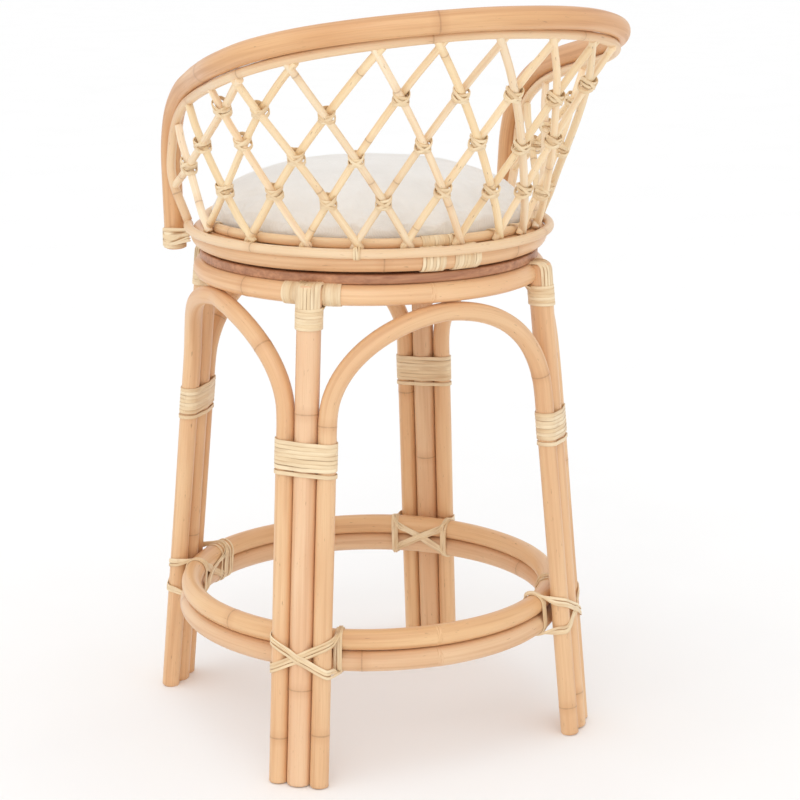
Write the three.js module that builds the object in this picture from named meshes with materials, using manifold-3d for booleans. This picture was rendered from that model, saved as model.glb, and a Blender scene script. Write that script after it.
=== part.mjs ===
// Swivel counter stool of bent rattan: a braced four-leg base with a double ring footrest,
// and a bucket seat with a lashed lattice back that turns on a flat ball-race swivel.
// Units are millimetres, +Z is up, the open front of the seat faces -Y.
import * as THREE from 'three';
import { mergeVertices } from 'three/addons/utils/BufferGeometryUtils.js';
import Module from 'manifold-3d';

const wasm = await Module();
wasm.setup();

// ---- driving dimensions ----
const CLEAR = 0.3;                  // gap left between pieces that touch
const SWIVEL_Y = -57;               // swivel axis in the row frame; centres the bounding box on the origin

const LEG_COUNT = 4;
const LEG_FIRST_DEG = 37.6;         // first leg, measured from the back (+Y) towards +X
const LEG_FOOT_RADIUS = 268;        // leg axis at the floor
const LEG_LEAN = 0.0954;            // how far a leg comes in per mm of height
const LEG_TOP_Z = 584;
const LEG_POLE_R = 14;
const SIDE_POLE_R = 11;
const SIDE_POLE_OFFSET = LEG_POLE_R + SIDE_POLE_R + CLEAR;

const BASE_RING_RADIUS = 201;
const BASE_RING_Z = 570.5;
const BASE_RING_R = 12.2;

const ARCH_SPRING_Z = 428;
const ARCH_APEX_Z = BASE_RING_Z - BASE_RING_R - SIDE_POLE_R - CLEAR;
const ARCH_LIMB_Z = [190, 400];     // points that keep the limbs of an arch straight
const OVERRUN = 20;                 // how far a pole is made past the plane that cuts it
const OVERCUT = 1;                  // how far a cutting tool passes the face it leaves
const RING_NOTCH = 1;               // room cut in a piece round a ring or a thin pole
const RIM_NOTCH = 0.8;
const BOARD_NOTCH = 1.5;

const FOOTREST_R = 12.5;
const FOOTREST_MID_Z = 154.8;

const CANE_WALL = 1.6;
const CANE_SLACK = 0.35;
const MID_BINDING_Z = 385;
const MID_BINDING_LENGTH = 42;
const SADDLE_LENGTH = 25;
const SADDLE_CORNER_R = 5;
const SADDLE_UP = 5.5;              // the saddle's outer corners, from the middle of the base ring
const SADDLE_DOWN = -12;
const SADDLE_SLACK = 1;
const SLEEVE_LAP = 0.1;             // the sleeves stay joined to the saddle by this much
const SLEEVE_DEG = 9.2;
const SLEEVE_WALL = 1.3;
const COLLAR_LENGTH = 24;
const COLLAR_Z = 545;
const LASH_DEG = 9.3;
const LASH_WRAP_LENGTH = 7;
const LASH_WRAP_SLACK = 0.7;
const LASH_STRAND_R = 1.7;
const LASH_RISE = 18;               // height gained by a strand from the middle of a leg to its edge
const LASH_END_RISE = 0.62;         // share of that rise kept where the strand meets the rings
const LASH_LIFT = { leg: 0.8, side: 1.6, ring: 2.2 };   // strand clear of what it crosses
// How a strand rounds a leg: behind the edge of the outer pole, over its shoulder, over the middle pole.
const LASH_BEHIND = { along: 3.4, out: -3 };
const LASH_SHOULDER = { along: -2.2, out: -3.6 };
const LASH_CREST = { along: 8, out: 0.6 };

const BOARD_RADIUS = 205;
const BOARD_BOTTOM = BASE_RING_Z + BASE_RING_R + CLEAR;
const BOARD_TOP = 594;

const PLATE_SIDE = 150;
const PLATE_THICK = 2;
const RACE_OUTER = 55;
const RACE_INNER = 36;
const RACE_THICK = 4.8;
const SCREW_R = 2;
const SCREW_HEAD_R = 3.8;
const SCREW_HEAD_T = 1.6;
const SCREW_SPAN = 62;              // screw position along each plate side from the middle
const SCREW_DEPTH = 8;
const SCREW_HEAD_LAP = 0.4;         // the shank ends inside the head
const LOWER_PLATE_Z = BOARD_TOP + CLEAR;
const RACE_Z = LOWER_PLATE_Z + PLATE_THICK + CLEAR;
const UPPER_PLATE_Z = RACE_Z + RACE_THICK + CLEAR;

const SEAT_RING_RADIUS = 203;
const SEAT_RING_Z = 610;
const SEAT_RING_R = 13;
const SEAT_BOARD_RADIUS = SEAT_RING_RADIUS - SEAT_RING_R - 0.5;
const SEAT_BOARD_Z = UPPER_PLATE_Z + PLATE_THICK + CLEAR;
const SEAT_BOARD_TOP = 616;
const WRAP_DEGS = [[3, -4.5], [-7.5, -17]];   // the two cane wraps on the seat ring
const WRAP_ROOM_DEG = 12;           // the rings are cut away this far each side of a wrap
const WRAP_BORE = { below: 4, above: 10 };    // room round the seat board, past its faces

const OUTER_RIM_RADIUS = 218.5;
const OUTER_RIM_Z = 620.4;
const OUTER_RIM_R = 5.7;
const OUTER_RIM_END_DEG = 108;
const INNER_RIM_RADIUS = 197;
const INNER_RIM_Z = 628.4;
const INNER_RIM_R = 6;

const RAIL_R = 12.4;
const RAIL_TILT = 0.03;             // the hand-bent rail sits slightly lower at the +X arm
const RAIL_TILT_FROM_Z = 640;
const RAIL_TILT_FULL = 200;
const INNER_POLE_R = 5.6;
const INNER_POLE_GAP = RAIL_R + INNER_POLE_R + 3 * CLEAR;
const INNER_POLE_START = 0.062;     // share of the rail's length where the thin pole joins it
const INNER_POLE_SPANS = 28;
const INNER_POLE_SAMPLES = 240;
const HIGHER_IS_NEARER = 0.002;     // degrees per mm that favour the swept part over the steep arm
const INNER_POLE_AIM = { back: 208.3, side: 298, arm: 253 };   // radius it leans towards
const INNER_POLE_AIM_SHARE = 0.72;  // the aim runs round slower than the rail
const INNER_POLE_AIM_Z = 640;
const INNER_POLE_SIDE_DEG = [45, 60];
const INNER_POLE_ARM_DEG = 100;
const INNER_POLE_END = { radius: 219, deg: 107, z: 628.6 };   // just above the end of the outer rim
const POST_WRAP_Z0 = 588.5;
const POST_WRAP_Z1 = 612;
const POST_WRAP_SLACK = 0.4;
const POST_WRAP_SHIFT = 0.3;
const POST_ROOM = { out: 1, back: 1, z: 640, slack: 0.8 };   // how the post leans above its foot

const ROD_R = 4.6;
const ROD_BOTTOM_RADIUS = 208.3;
const ROD_BOTTOM_Z = 626.4;
// Hand spaced: two rods start at each foot, and lean to heads that are ROD_SHEAR places apart.
const ROD_FOOT_DEG = [-72, -53, -39, -26, -9.8, 7.4, 23, 39.2, 59.5, 84];
const ROD_HEAD_DEG = [-102, -89, -64, -39.7, -30.9, -17.9, -5.9, 6.1, 17.7, 34.2, 46.9, 58.1, 87.4, 102];
const ROD_SHEAR = 4;
const ROD_BOW = 0.41;               // share of the flared surface's bulge that a rod follows
const ROD_LAYER = 2.4;              // each family stands this far off the lattice surface
const ROD_HEAD_GAP = 4;             // head of a rod below the surface of the thin pole
const ROD_HEAD_EASE = { deg: 2.2, z: 2 };  // how far a head on the arm stays inside and below the pole
const ROD_EASE = 8;                 // the layers close within one part in this many of a rod's length
const ROD_SPANS = 4;
const ARM_ROD_FOOT = { radius: 233, deg: 107.6, z: 668 };  // the arm rods start on the thin pole
const LATTICE_END_DEG = 104;
const ARM_FROM_DEG = 80;
const KNOT_R = 7.2;
const KNOT_FROM = 0.07;             // shares of a rod's length between which it can be knotted
const KNOT_TO = 0.94;
const KNOT_REACH = 9;               // rods that pass closer than this are tied
const KNOT_SEARCH = 60;             // points compared along each rod

const CUSHION_PROFILE = [
  [0, 616.8],
  [182, 616.8],
  [188.5, 622],
  [189.5, 634],
  [196, 637.5],
  [197.5, 648],
  [190.5, 663],
  [174, 677],
  [148, 686],
  [105, 692],
  [45, 694.8],
  [0, 695.8],
];

// One side of the top rail, from the middle of the back round to the foot of the arm post.
const RAIL_HALF = [
  [0, 343, 885],
  [65, 336, 883],
  [124, 314, 878],
  [176, 277, 869],
  [216, 234, 856],
  [235, 180, 840],
  [233, 112, 825],
  [227, 45, 810],
  [224.5, -18, 789],
  [223, -65, 757],
  [222, -88, 715],
  [220.5, -93.5, 666],
  [218, -96, 586.6],
];

// ---- facets ----
const RING_AROUND = 36;
const RING_SIDES = 8;
const POLE_SIDES = 12;
const THIN_SIDES = 6;
const ROD_SIDES = 5;
const ARCH_SIDES = 8;
const LASH_WRAP_SIDES = 10;
const LASH_STRAND_SIDES = 4;
const LASH_STRAND_STEPS = 12;
const SCREW_HEAD_SIDES = 8;
const SCREW_SIDES = 6;
const RACE_SIDES = 24;
const WRAP_SIDES = 10;
const WRAP_STEPS = 2;
const RIM_ROOM_SIDES = 8;
const RIM_ROOM_STEPS = 4;
const RAIL_SIDES = 10;
const RAIL_STEPS = 44;
const THIN_POLE_STEPS = 40;
const OUTER_RIM_STEPS = 24;
const CUSHION_SIDES = 32;
const BINDING_SIDES = 8;
const BOARD_SIDES = 36;
const ARCH_QUARTER_STEPS = 7;

// ---- materials ----
function rattan(colour, roughness) {
  return new THREE.MeshStandardMaterial({ color: colour, roughness, metalness: 0 });
}
const POLE = rattan(0xe3b583, 0.45);
const RAIL = rattan(0xdba873, 0.42);
const THIN_POLE = rattan(0xeec796, 0.5);
const CANE = rattan(0xe9cfa0, 0.55);
const LATTICE = rattan(0xf0d9ac, 0.55);
const PLY = rattan(0x9a6238, 0.6);
const CLOTH = rattan(0xf4f1ec, 0.9);
const STEEL = new THREE.MeshStandardMaterial({ color: 0x8b8d90, roughness: 0.4, metalness: 0.9 });

// ---- solids ----
function toManifold(geometry) {
  const g = geometry.index ? geometry.clone() : geometry;
  g.deleteAttribute('normal');
  g.deleteAttribute('uv');
  const m = mergeVertices(g, 1e-4);
  const made = new wasm.Mesh({
    numProp: 3,
    vertProperties: new Float32Array(m.attributes.position.array),
    triVerts: new Uint32Array(m.index.array),
  });
  made.merge();
  return new wasm.Manifold(made);
}

function toMesh(solid, name, material) {
  const m = solid.translate([0, SWIVEL_Y, 0]).getMesh();
  const g = new THREE.BufferGeometry();
  g.setAttribute('position', new THREE.BufferAttribute(new Float32Array(m.vertProperties), 3));
  g.setIndex(new THREE.BufferAttribute(new Uint32Array(m.triVerts), 1));
  g.computeVertexNormals();
  const mesh = new THREE.Mesh(g, material);
  mesh.name = name;
  return mesh;
}

function joined(solids) {
  return solids.reduce((sum, s) => sum.add(s));
}

function disc(r, sides) {
  const pts = [];
  for (let i = 0; i < sides; i++) {
    const a = (2 * Math.PI * (i + 0.5)) / sides;
    pts.push(new THREE.Vector2(r * Math.cos(a), r * Math.sin(a)));
  }
  return new THREE.Shape(pts);
}

// A round pole along a curve through the given points.
function pole(points, r, steps, sides) {
  const path = points.length === 2
    ? new THREE.LineCurve3(points[0], points[1])
    : new THREE.CatmullRomCurve3(points, false, 'centripetal');
  const g = new THREE.ExtrudeGeometry(disc(r, sides), { steps, extrudePath: path });
  return toManifold(g);
}

// A curve whose steps fall on its own points, so that bends get more facets than straight runs.
class SteppedCurve extends THREE.CatmullRomCurve3 {
  getUtoTmapping(u) {
    return u;
  }
}

function poleThrough(points, r, sides) {
  const path = new SteppedCurve(points, false, 'centripetal');
  const settings = { steps: points.length - 1, extrudePath: path };
  return toManifold(new THREE.ExtrudeGeometry(disc(r, sides), settings));
}

// A thin-walled tube with the inner radius r along points.
function sleeve(points, r, wall, sides) {
  const shape = disc(r + wall, sides);
  shape.holes.push(disc(r, sides));
  const path = new SteppedCurve(points, false, 'centripetal');
  return toManifold(new THREE.ExtrudeGeometry(shape, { steps: points.length - 1, extrudePath: path }));
}

function hoop(radius, z, r, around, sides) {
  const g = new THREE.TorusGeometry(radius, r, sides, around);
  g.translate(0, 0, z);
  return toManifold(g);
}

function turned(profile, sides) {
  const g = new THREE.LatheGeometry(profile.map(([r, z]) => new THREE.Vector2(r, z)), sides);
  g.rotateX(Math.PI / 2);
  return toManifold(g);
}

function cylinder(r, z0, z1, sides) {
  return turned([[0, z0], [r, z0], [r, z1], [0, z1]], sides);
}

function box(sx, sy, z0, z1) {
  const g = new THREE.BoxGeometry(sx, sy, z1 - z0);
  g.translate(0, 0, (z0 + z1) / 2);
  return toManifold(g);
}

// Point at a bearing measured from the back (+Y) towards +X.
function polar(radius, deg, z) {
  const a = THREE.MathUtils.degToRad(deg);
  return new THREE.Vector3(radius * Math.sin(a), radius * Math.cos(a), z);
}

function arcPoints(radius, z, deg0, deg1, count) {
  const pts = [];
  for (let i = 0; i <= count; i++) {
    pts.push(polar(radius, deg0 + ((deg1 - deg0) * i) / count, z));
  }
  return pts;
}

// ---- base ----
function legBearing(i) {
  return LEG_FIRST_DEG + (360 / LEG_COUNT) * i;
}

function legRadius(z) {
  return LEG_FOOT_RADIUS - LEG_LEAN * z;
}

// Point on a leg: side is the offset along the leg's row of poles, out is added to the radius.
function legPoint(i, z, side, out) {
  const t = polar(side, legBearing(i) + 90, 0);
  return polar(legRadius(z) + out, legBearing(i), z).add(t);
}

function footrestRadius(z) {
  return legRadius(z) - LEG_POLE_R - CLEAR - FOOTREST_R;
}

function footrestZ(k) {
  return FOOTREST_MID_Z + (k === 0 ? 1 : -1) * (FOOTREST_R + CLEAR / 2);
}

function legPole(i) {
  const line = [legPoint(i, -OVERRUN, 0, 0), legPoint(i, LEG_TOP_Z + OVERRUN, 0, 0)];
  const body = pole(line, LEG_POLE_R, 1, POLE_SIDES);
  const cut = body.trimByPlane([0, 0, 1], 0).trimByPlane([0, 0, -1], -LEG_TOP_Z);
  const notch = hoop(BASE_RING_RADIUS, BASE_RING_Z, BASE_RING_R + RING_NOTCH, RING_AROUND, RING_SIDES);
  const board = cylinder(BOARD_RADIUS + BOARD_NOTCH, BOARD_BOTTOM - CLEAR, LEG_TOP_Z + OVERRUN, BOARD_SIDES);
  return largest(cut.subtract(notch).subtract(board));
}

function largest(solid) {
  const parts = solid.decompose();
  parts.sort((a, b) => b.volume() - a.volume());
  return parts[0];
}

// An upside-down U between leg i and the next: its two limbs are the outer poles of those legs.
function arch(i) {
  const pts = [];
  const startDeg = THREE.MathUtils.radToDeg(Math.atan2(SIDE_POLE_OFFSET, legRadius(ARCH_SPRING_Z)));
  for (const z of [-OVERRUN, ...ARCH_LIMB_Z]) {
    pts.push(legPoint(i, z, SIDE_POLE_OFFSET, 0));
  }
  for (let k = 0; k <= ARCH_QUARTER_STEPS; k++) {
    const u = (Math.PI / 2) * (k / ARCH_QUARTER_STEPS);
    const w = 1 - Math.cos(u);
    const z = ARCH_SPRING_Z + (ARCH_APEX_Z - ARCH_SPRING_Z) * Math.sin(u);
    const limb = legPoint(i, z, SIDE_POLE_OFFSET, 0);
    const radius = Math.hypot(limb.x, limb.y) * (1 - w) + BASE_RING_RADIUS * w;
    const deg = startDeg + (180 / LEG_COUNT - startDeg) * w;
    pts.push(polar(radius, legBearing(i) + deg, z));
  }
  const middle = legBearing(i) + 180 / LEG_COUNT;
  for (let k = pts.length - 2; k >= 0; k--) {
    pts.push(mirrored(pts[k], middle));
  }
  return poleThrough(pts, SIDE_POLE_R, ARCH_SIDES).trimByPlane([0, 0, 1], 0);
}

// Mirror a point in the upright plane through the axis at a bearing.
function mirrored(p, deg) {
  const q = polar(1, deg, 0);
  const n = new THREE.Vector3(q.y, -q.x, 0);
  return p.clone().addScaledVector(n, -2 * (p.x * n.x + p.y * n.y));
}

// Convex outline round a set of flat points, by the monotone chain.
function convexOutline(points) {
  const sorted = points.slice().sort((p, q) => p.x - q.x || p.y - q.y);
  const half = (list) => {
    const chain = [];
    for (const p of list) {
      while (chain.length > 1 && turn(chain[chain.length - 2], chain[chain.length - 1], p) <= 0) {
        chain.pop();
      }
      chain.push(p);
    }
    chain.pop();
    return chain;
  };
  return half(sorted).concat(half(sorted.slice().reverse()));
}

function turn(o, p, q) {
  return (p.x - o.x) * (q.y - o.y) - (p.y - o.y) * (q.x - o.x);
}

// A band pulled tight round circles [x, y, radius], running along Z about the origin.
function band(circles, wall, length, sides) {
  const outline = (extra) => {
    const flat = [];
    for (const [x, y, r] of circles) {
      for (let k = 0; k < sides; k++) {
        const a = (2 * Math.PI * (k + 0.5)) / sides;
        flat.push(new THREE.Vector2(x + (r + extra) * Math.cos(a), y + (r + extra) * Math.sin(a)));
      }
    }
    return convexOutline(flat);
  };
  const shape = new THREE.Shape(outline(wall));
  shape.holes.push(new THREE.Path(outline(0)));
  const g = new THREE.ExtrudeGeometry(shape, { depth: length, bevelEnabled: false });
  g.translate(0, 0, -length / 2);
  return toManifold(g);
}

// Put a solid made about the origin at a point, its Z along a direction, its X towards another.
function placed(solid, origin, zAxis, xAxis) {
  const z = zAxis.clone().normalize();
  const x = xAxis.clone().addScaledVector(z, -xAxis.dot(z)).normalize();
  const y = new THREE.Vector3().crossVectors(z, x);
  const m = new THREE.Matrix4().makeBasis(x, y, z).setPosition(origin);
  return solid.transform(m.elements);
}

function legFrame(i, z, out) {
  const up = legPoint(i, 1, 0, 0).sub(legPoint(i, 0, 0, 0)).normalize();
  const sideways = polar(1, legBearing(i) + 90, 0);
  return { at: legPoint(i, z, 0, out), up, sideways, outward: polar(1, legBearing(i), 0) };
}

// Radius of a faceted opening that a round pole of radius r passes through with slack.
function around(r, sides) {
  return (r + CANE_SLACK) / Math.cos(Math.PI / sides);
}

// Cane wound round all three poles of a leg.
function midBinding(i) {
  const f = legFrame(i, MID_BINDING_Z, 0);
  const r = around(SIDE_POLE_R, POLE_SIDES);
  const circles = [
    [-SIDE_POLE_OFFSET, 0, r],
    [0, 0, around(LEG_POLE_R, POLE_SIDES)],
    [SIDE_POLE_OFFSET, 0, r],
  ];
  return placed(band(circles, CANE_WALL, MID_BINDING_LENGTH, POLE_SIDES), f.at, f.up, f.sideways);
}

// Cane that ties the top of a leg to the base ring: a saddle over the joint, two sleeves and a collar.
function topBinding(i) {
  const deg = legBearing(i);
  const f = legFrame(i, BASE_RING_Z, 0);
  const ringBore = around(BASE_RING_R, BINDING_SIDES) + CANE_SLACK;
  const poleOut = legRadius(BASE_RING_Z) - BASE_RING_RADIUS + LEG_POLE_R - SADDLE_CORNER_R + SADDLE_SLACK;
  const circles = [
    [0, 0, ringBore],
    [poleOut, SADDLE_UP, SADDLE_CORNER_R],
    [poleOut, SADDLE_DOWN, SADDLE_CORNER_R],
  ];
  const saddle = placed(
    band(circles, CANE_WALL, SADDLE_LENGTH, BINDING_SIDES),
    polar(BASE_RING_RADIUS, deg, BASE_RING_Z),
    polar(1, deg + 90, 0),
    f.outward,
  );
  const wrapPath = arcPoints(BASE_RING_RADIUS, BASE_RING_Z, deg - SLEEVE_DEG, deg + SLEEVE_DEG, 2);
  const wraps = sleeve(wrapPath, ringBore, SLEEVE_WALL, BINDING_SIDES);
  const collarBore = around(LEG_POLE_R, POLE_SIDES);
  const collar = placed(
    band([[0, 0, collarBore]], CANE_WALL, COLLAR_LENGTH, POLE_SIDES),
    legPoint(i, COLLAR_Z, 0, 0),
    f.up,
    f.sideways,
  );
  const legLine = [legPoint(i, COLLAR_Z - COLLAR_LENGTH, 0, 0), legPoint(i, LEG_TOP_Z + OVERRUN, 0, 0)];
  const legRoom = pole(legLine, LEG_POLE_R + CLEAR, 1, POLE_SIDES);
  const ringRoom = pole(wrapPath, ringBore - SLEEVE_LAP, WRAP_STEPS, BINDING_SIDES);
  const lid = cylinder(2 * BOARD_RADIUS, BOARD_BOTTOM - CLEAR / 3, LEG_TOP_Z + OVERRUN, THIN_SIDES);
  return largest(joined([saddle, wraps, collar]).subtract(legRoom).subtract(ringRoom).subtract(lid));
}

// Cane that ties the footrest rings to a leg: wraps round both rings each side, crossed strands outside.
function footrestLashing(i) {
  const deg = legBearing(i);
  const parts = [];
  const zs = [footrestZ(0), footrestZ(1)];
  const rs = zs.map(footrestRadius);
  const wrapR = around(FOOTREST_R, LASH_WRAP_SIDES) + LASH_WRAP_SLACK;
  for (const s of [-1, 1]) {
    const d = deg + s * LASH_DEG;
    const circles = [[rs[0] - rs[1], zs[0] - zs[1], wrapR], [0, 0, wrapR]];
    parts.push(placed(
      band(circles, CANE_WALL, LASH_WRAP_LENGTH, LASH_WRAP_SIDES),
      polar(rs[1], d, zs[1]),
      polar(1, d + 90, 0),
      polar(1, d, 0),
    ));
  }
  const outer = LEG_POLE_R + LASH_STRAND_R + LASH_LIFT.leg;
  const side = SIDE_POLE_R + LASH_STRAND_R + LASH_LIFT.side;
  const edge = SIDE_POLE_OFFSET + SIDE_POLE_R;
  for (const s of [-1, 1]) {
    const at = (along, out) => legPoint(i, FOOTREST_MID_Z + (s * along * LASH_RISE) / edge, along, out);
    const end = (u) => polar(
      rs[1] + FOOTREST_R + LASH_LIFT.ring,
      deg + u * LASH_DEG,
      FOOTREST_MID_Z + s * u * LASH_RISE * LASH_END_RISE,
    );
    const bends = [
      [edge + LASH_BEHIND.along, LASH_BEHIND.out],
      [edge + LASH_SHOULDER.along, side + LASH_SHOULDER.out],
      [SIDE_POLE_OFFSET, side],
      [LASH_CREST.along, outer + LASH_CREST.out],
    ];
    const left = bends.map(([along, out]) => at(-along, out));
    const right = bends.map(([along, out]) => at(along, out)).reverse();
    const pts = [end(-1), ...left, ...right, end(1)];
    parts.push(pole(pts, LASH_STRAND_R, LASH_STRAND_STEPS, LASH_STRAND_SIDES));
  }
  return largest(joined(parts));
}

function baseBoard() {
  const body = cylinder(BOARD_RADIUS, BOARD_BOTTOM, BOARD_TOP, BOARD_SIDES);
  return withHoles(body, BOARD_TOP - SCREW_DEPTH - CLEAR, BOARD_TOP + OVERCUT);
}

// ---- swivel ----
function screwSpots() {
  const spots = [];
  for (const sx of [-1, 1]) {
    for (const sy of [-1, 1]) {
      spots.push([sx * SCREW_SPAN, sy * SCREW_SPAN]);
    }
  }
  return spots;
}

function withHoles(solid, z0, z1) {
  return screwSpots().reduce(
    (s, [x, y]) => s.subtract(cylinder(SCREW_R + CLEAR, z0, z1, SCREW_HEAD_SIDES).translate([x, y, 0])),
    solid,
  );
}

function plate(z) {
  const sheet = box(PLATE_SIDE, PLATE_SIDE, z, z + PLATE_THICK);
  return withHoles(sheet, z - OVERCUT, z + PLATE_THICK + OVERCUT);
}

function race() {
  return turned([
    [RACE_INNER, RACE_Z],
    [RACE_OUTER, RACE_Z],
    [RACE_OUTER, RACE_Z + RACE_THICK],
    [RACE_INNER, RACE_Z + RACE_THICK],
    [RACE_INNER, RACE_Z],
  ], RACE_SIDES);
}

function screw(face, tip, spot) {
  const up = Math.sign(face - tip);
  const under = face + up * CLEAR;
  const top = under + up * SCREW_HEAD_T;
  const head = cylinder(SCREW_HEAD_R, Math.min(under, top), Math.max(under, top), SCREW_HEAD_SIDES);
  const inHead = top - up * SCREW_HEAD_LAP;
  const shank = cylinder(SCREW_R, Math.min(tip, inHead), Math.max(tip, inHead), SCREW_SIDES);
  return head.add(shank).translate([spot[0], spot[1], 0]);
}

// ---- seat ----
function seatBoard() {
  const body = cylinder(SEAT_BOARD_RADIUS, SEAT_BOARD_Z, SEAT_BOARD_TOP, BOARD_SIDES);
  return withHoles(body, SEAT_BOARD_Z - OVERCUT, SEAT_BOARD_Z + SCREW_DEPTH + CLEAR);
}

function railPoints() {
  const half = RAIL_HALF.map(([x, y, z]) => new THREE.Vector3(x, y, z));
  const other = half.slice(1).reverse().map((p) => new THREE.Vector3(-p.x, p.y, p.z));
  return other.concat(half).map((p) => {
    const h = THREE.MathUtils.clamp((p.z - RAIL_TILT_FROM_Z) / RAIL_TILT_FULL, 0, 1);
    p.z -= RAIL_TILT * p.x * h;
    return p;
  });
}

const railCurve = new THREE.CatmullRomCurve3(railPoints(), false, 'centripetal');

// The thin pole that follows the lattice side of the rail and carries the rod ends.
function innerPolePoint(u) {
  const p = railCurve.getPointAt(u);
  const t = railCurve.getTangentAt(u);
  const deg = THREE.MathUtils.radToDeg(Math.atan2(p.x, p.y));
  const aim = polar(innerPoleAimRadius(deg), deg * INNER_POLE_AIM_SHARE, INNER_POLE_AIM_Z).sub(p);
  aim.addScaledVector(t, -aim.dot(t)).normalize();
  return p.addScaledVector(aim, INNER_POLE_GAP);
}

// It leans towards the seat at the back, hangs lower at the sides, and lies behind the arm posts.
function innerPoleAimRadius(deg) {
  const { back, side, arm } = INNER_POLE_AIM;
  const [sideFrom, sideTo] = INNER_POLE_SIDE_DEG;
  const out = Math.min(1, Math.abs(deg) / sideFrom);
  const down = THREE.MathUtils.clamp((Math.abs(deg) - sideTo) / (INNER_POLE_ARM_DEG - sideTo), 0, 1);
  return back + (side - back) * out + (arm - side) * down;
}

function innerPoleCurvePoints() {
  const pts = [];
  for (let k = 0; k <= INNER_POLE_SPANS; k++) {
    const u = INNER_POLE_START + ((1 - 2 * INNER_POLE_START) * k) / INNER_POLE_SPANS;
    pts.push(innerPolePoint(u));
  }
  const { radius, deg, z } = INNER_POLE_END;
  return [polar(radius, -deg, z), ...pts, polar(radius, deg, z)];
}

const innerPolePoints = innerPoleCurvePoints();
const innerPoleCurve = new THREE.CatmullRomCurve3(innerPolePoints, false, 'centripetal');

const innerPoleLine = innerPoleCurve.getSpacedPoints(INNER_POLE_SAMPLES);

// Where the thin pole stands at a bearing, read from its upper, swept part.
function railAt(deg) {
  let best = null;
  for (const p of innerPoleLine) {
    const d = THREE.MathUtils.radToDeg(Math.atan2(p.x, p.y));
    const miss = Math.abs(d - deg) - p.z * HIGHER_IS_NEARER;
    if (!best || miss < best.miss) {
      best = { miss, p };
    }
  }
  return best.p;
}

// Point of the flared lattice surface at a bearing and height.
function latticePoint(deg, z) {
  const limit = THREE.MathUtils.clamp(deg, -LATTICE_END_DEG, LATTICE_END_DEG);
  const top = railAt(limit);
  const topRadius = Math.hypot(top.x, top.y);
  const rise = THREE.MathUtils.clamp((z - ROD_BOTTOM_Z) / (top.z - ROD_BOTTOM_Z), 0, 1);
  return polar(ROD_BOTTOM_RADIUS + (topRadius - ROD_BOTTOM_RADIUS) * rise, deg, z);
}

// Every rod as its foot and head, each a bearing and a height; side gives the direction it leans.
function rodLines() {
  const lines = [];
  ROD_FOOT_DEG.forEach((deg, k) => {
    lines.push(rodLine(1, [deg, ROD_BOTTOM_Z], ROD_HEAD_DEG[k + ROD_SHEAR]));
    lines.push(rodLine(-1, [deg, ROD_BOTTOM_Z], ROD_HEAD_DEG[k]));
  });
  return [...lines, armRod(1, ROD_HEAD_DEG[ROD_SHEAR - 1]), armRod(-1, ROD_HEAD_DEG[ROD_FOOT_DEG.length])];
}

// The last rod of each family starts on the thin pole beside the arm post instead of the rim.
function armRod(side, headDeg) {
  const { radius, deg, z } = ARM_ROD_FOOT;
  const line = rodLine(side, [-side * deg, z], headDeg);
  return { ...line, start: polar(radius, -side * deg, z) };
}

// On the steep arm the head comes in from the side of the thin pole, elsewhere from below it.
function rodLine(side, foot, headDeg) {
  const top = railAt(headDeg);
  if (Math.abs(headDeg) > ARM_FROM_DEG) {
    return { side, foot, head: [headDeg - Math.sign(headDeg) * ROD_HEAD_EASE.deg, top.z - ROD_HEAD_EASE.z] };
  }
  return { side, foot, head: [headDeg, top.z - INNER_POLE_R - ROD_HEAD_GAP] };
}

// A rod is nearly straight, and bows out a little towards the flared surface.
function rodPoint(line, t) {
  const { foot, head, start } = line;
  if (start) {
    return start.clone().lerp(latticePoint(...head), t);
  }
  const straight = latticePoint(...foot).lerp(latticePoint(...head), t);
  const flared = latticePoint(foot[0] + (head[0] - foot[0]) * t, foot[1] + (head[1] - foot[1]) * t);
  return straight.lerp(flared, ROD_BOW);
}

// The two families lie in two layers, and come together at the rim and the rail.
function rodPath(line, spans) {
  const pts = [];
  for (let k = 0; k <= spans; k++) {
    const t = k / spans;
    const p = rodPoint(line, t);
    const outward = new THREE.Vector3(p.x, p.y, 0).normalize();
    const apart = Math.min(1, ROD_EASE * t, ROD_EASE * (1 - t));
    pts.push(p.addScaledVector(outward, line.side * ROD_LAYER * apart));
  }
  return pts;
}

// The middle of the knot where two rods of opposite families cross, or null where they don't.
function crossing(a, b) {
  const share = (k) => KNOT_FROM + ((KNOT_TO - KNOT_FROM) * k) / KNOT_SEARCH;
  const along = (line) => Array.from({ length: KNOT_SEARCH + 1 }, (_, k) => rodPoint(line, share(k)));
  let best = null;
  for (const p of along(a)) {
    for (const q of along(b)) {
      const gap = p.distanceTo(q);
      if (!best || gap < best.gap) {
        best = { gap, middle: p.clone().lerp(q, 0.5) };
      }
    }
  }
  return best.gap < KNOT_REACH ? best.middle : null;
}

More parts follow.
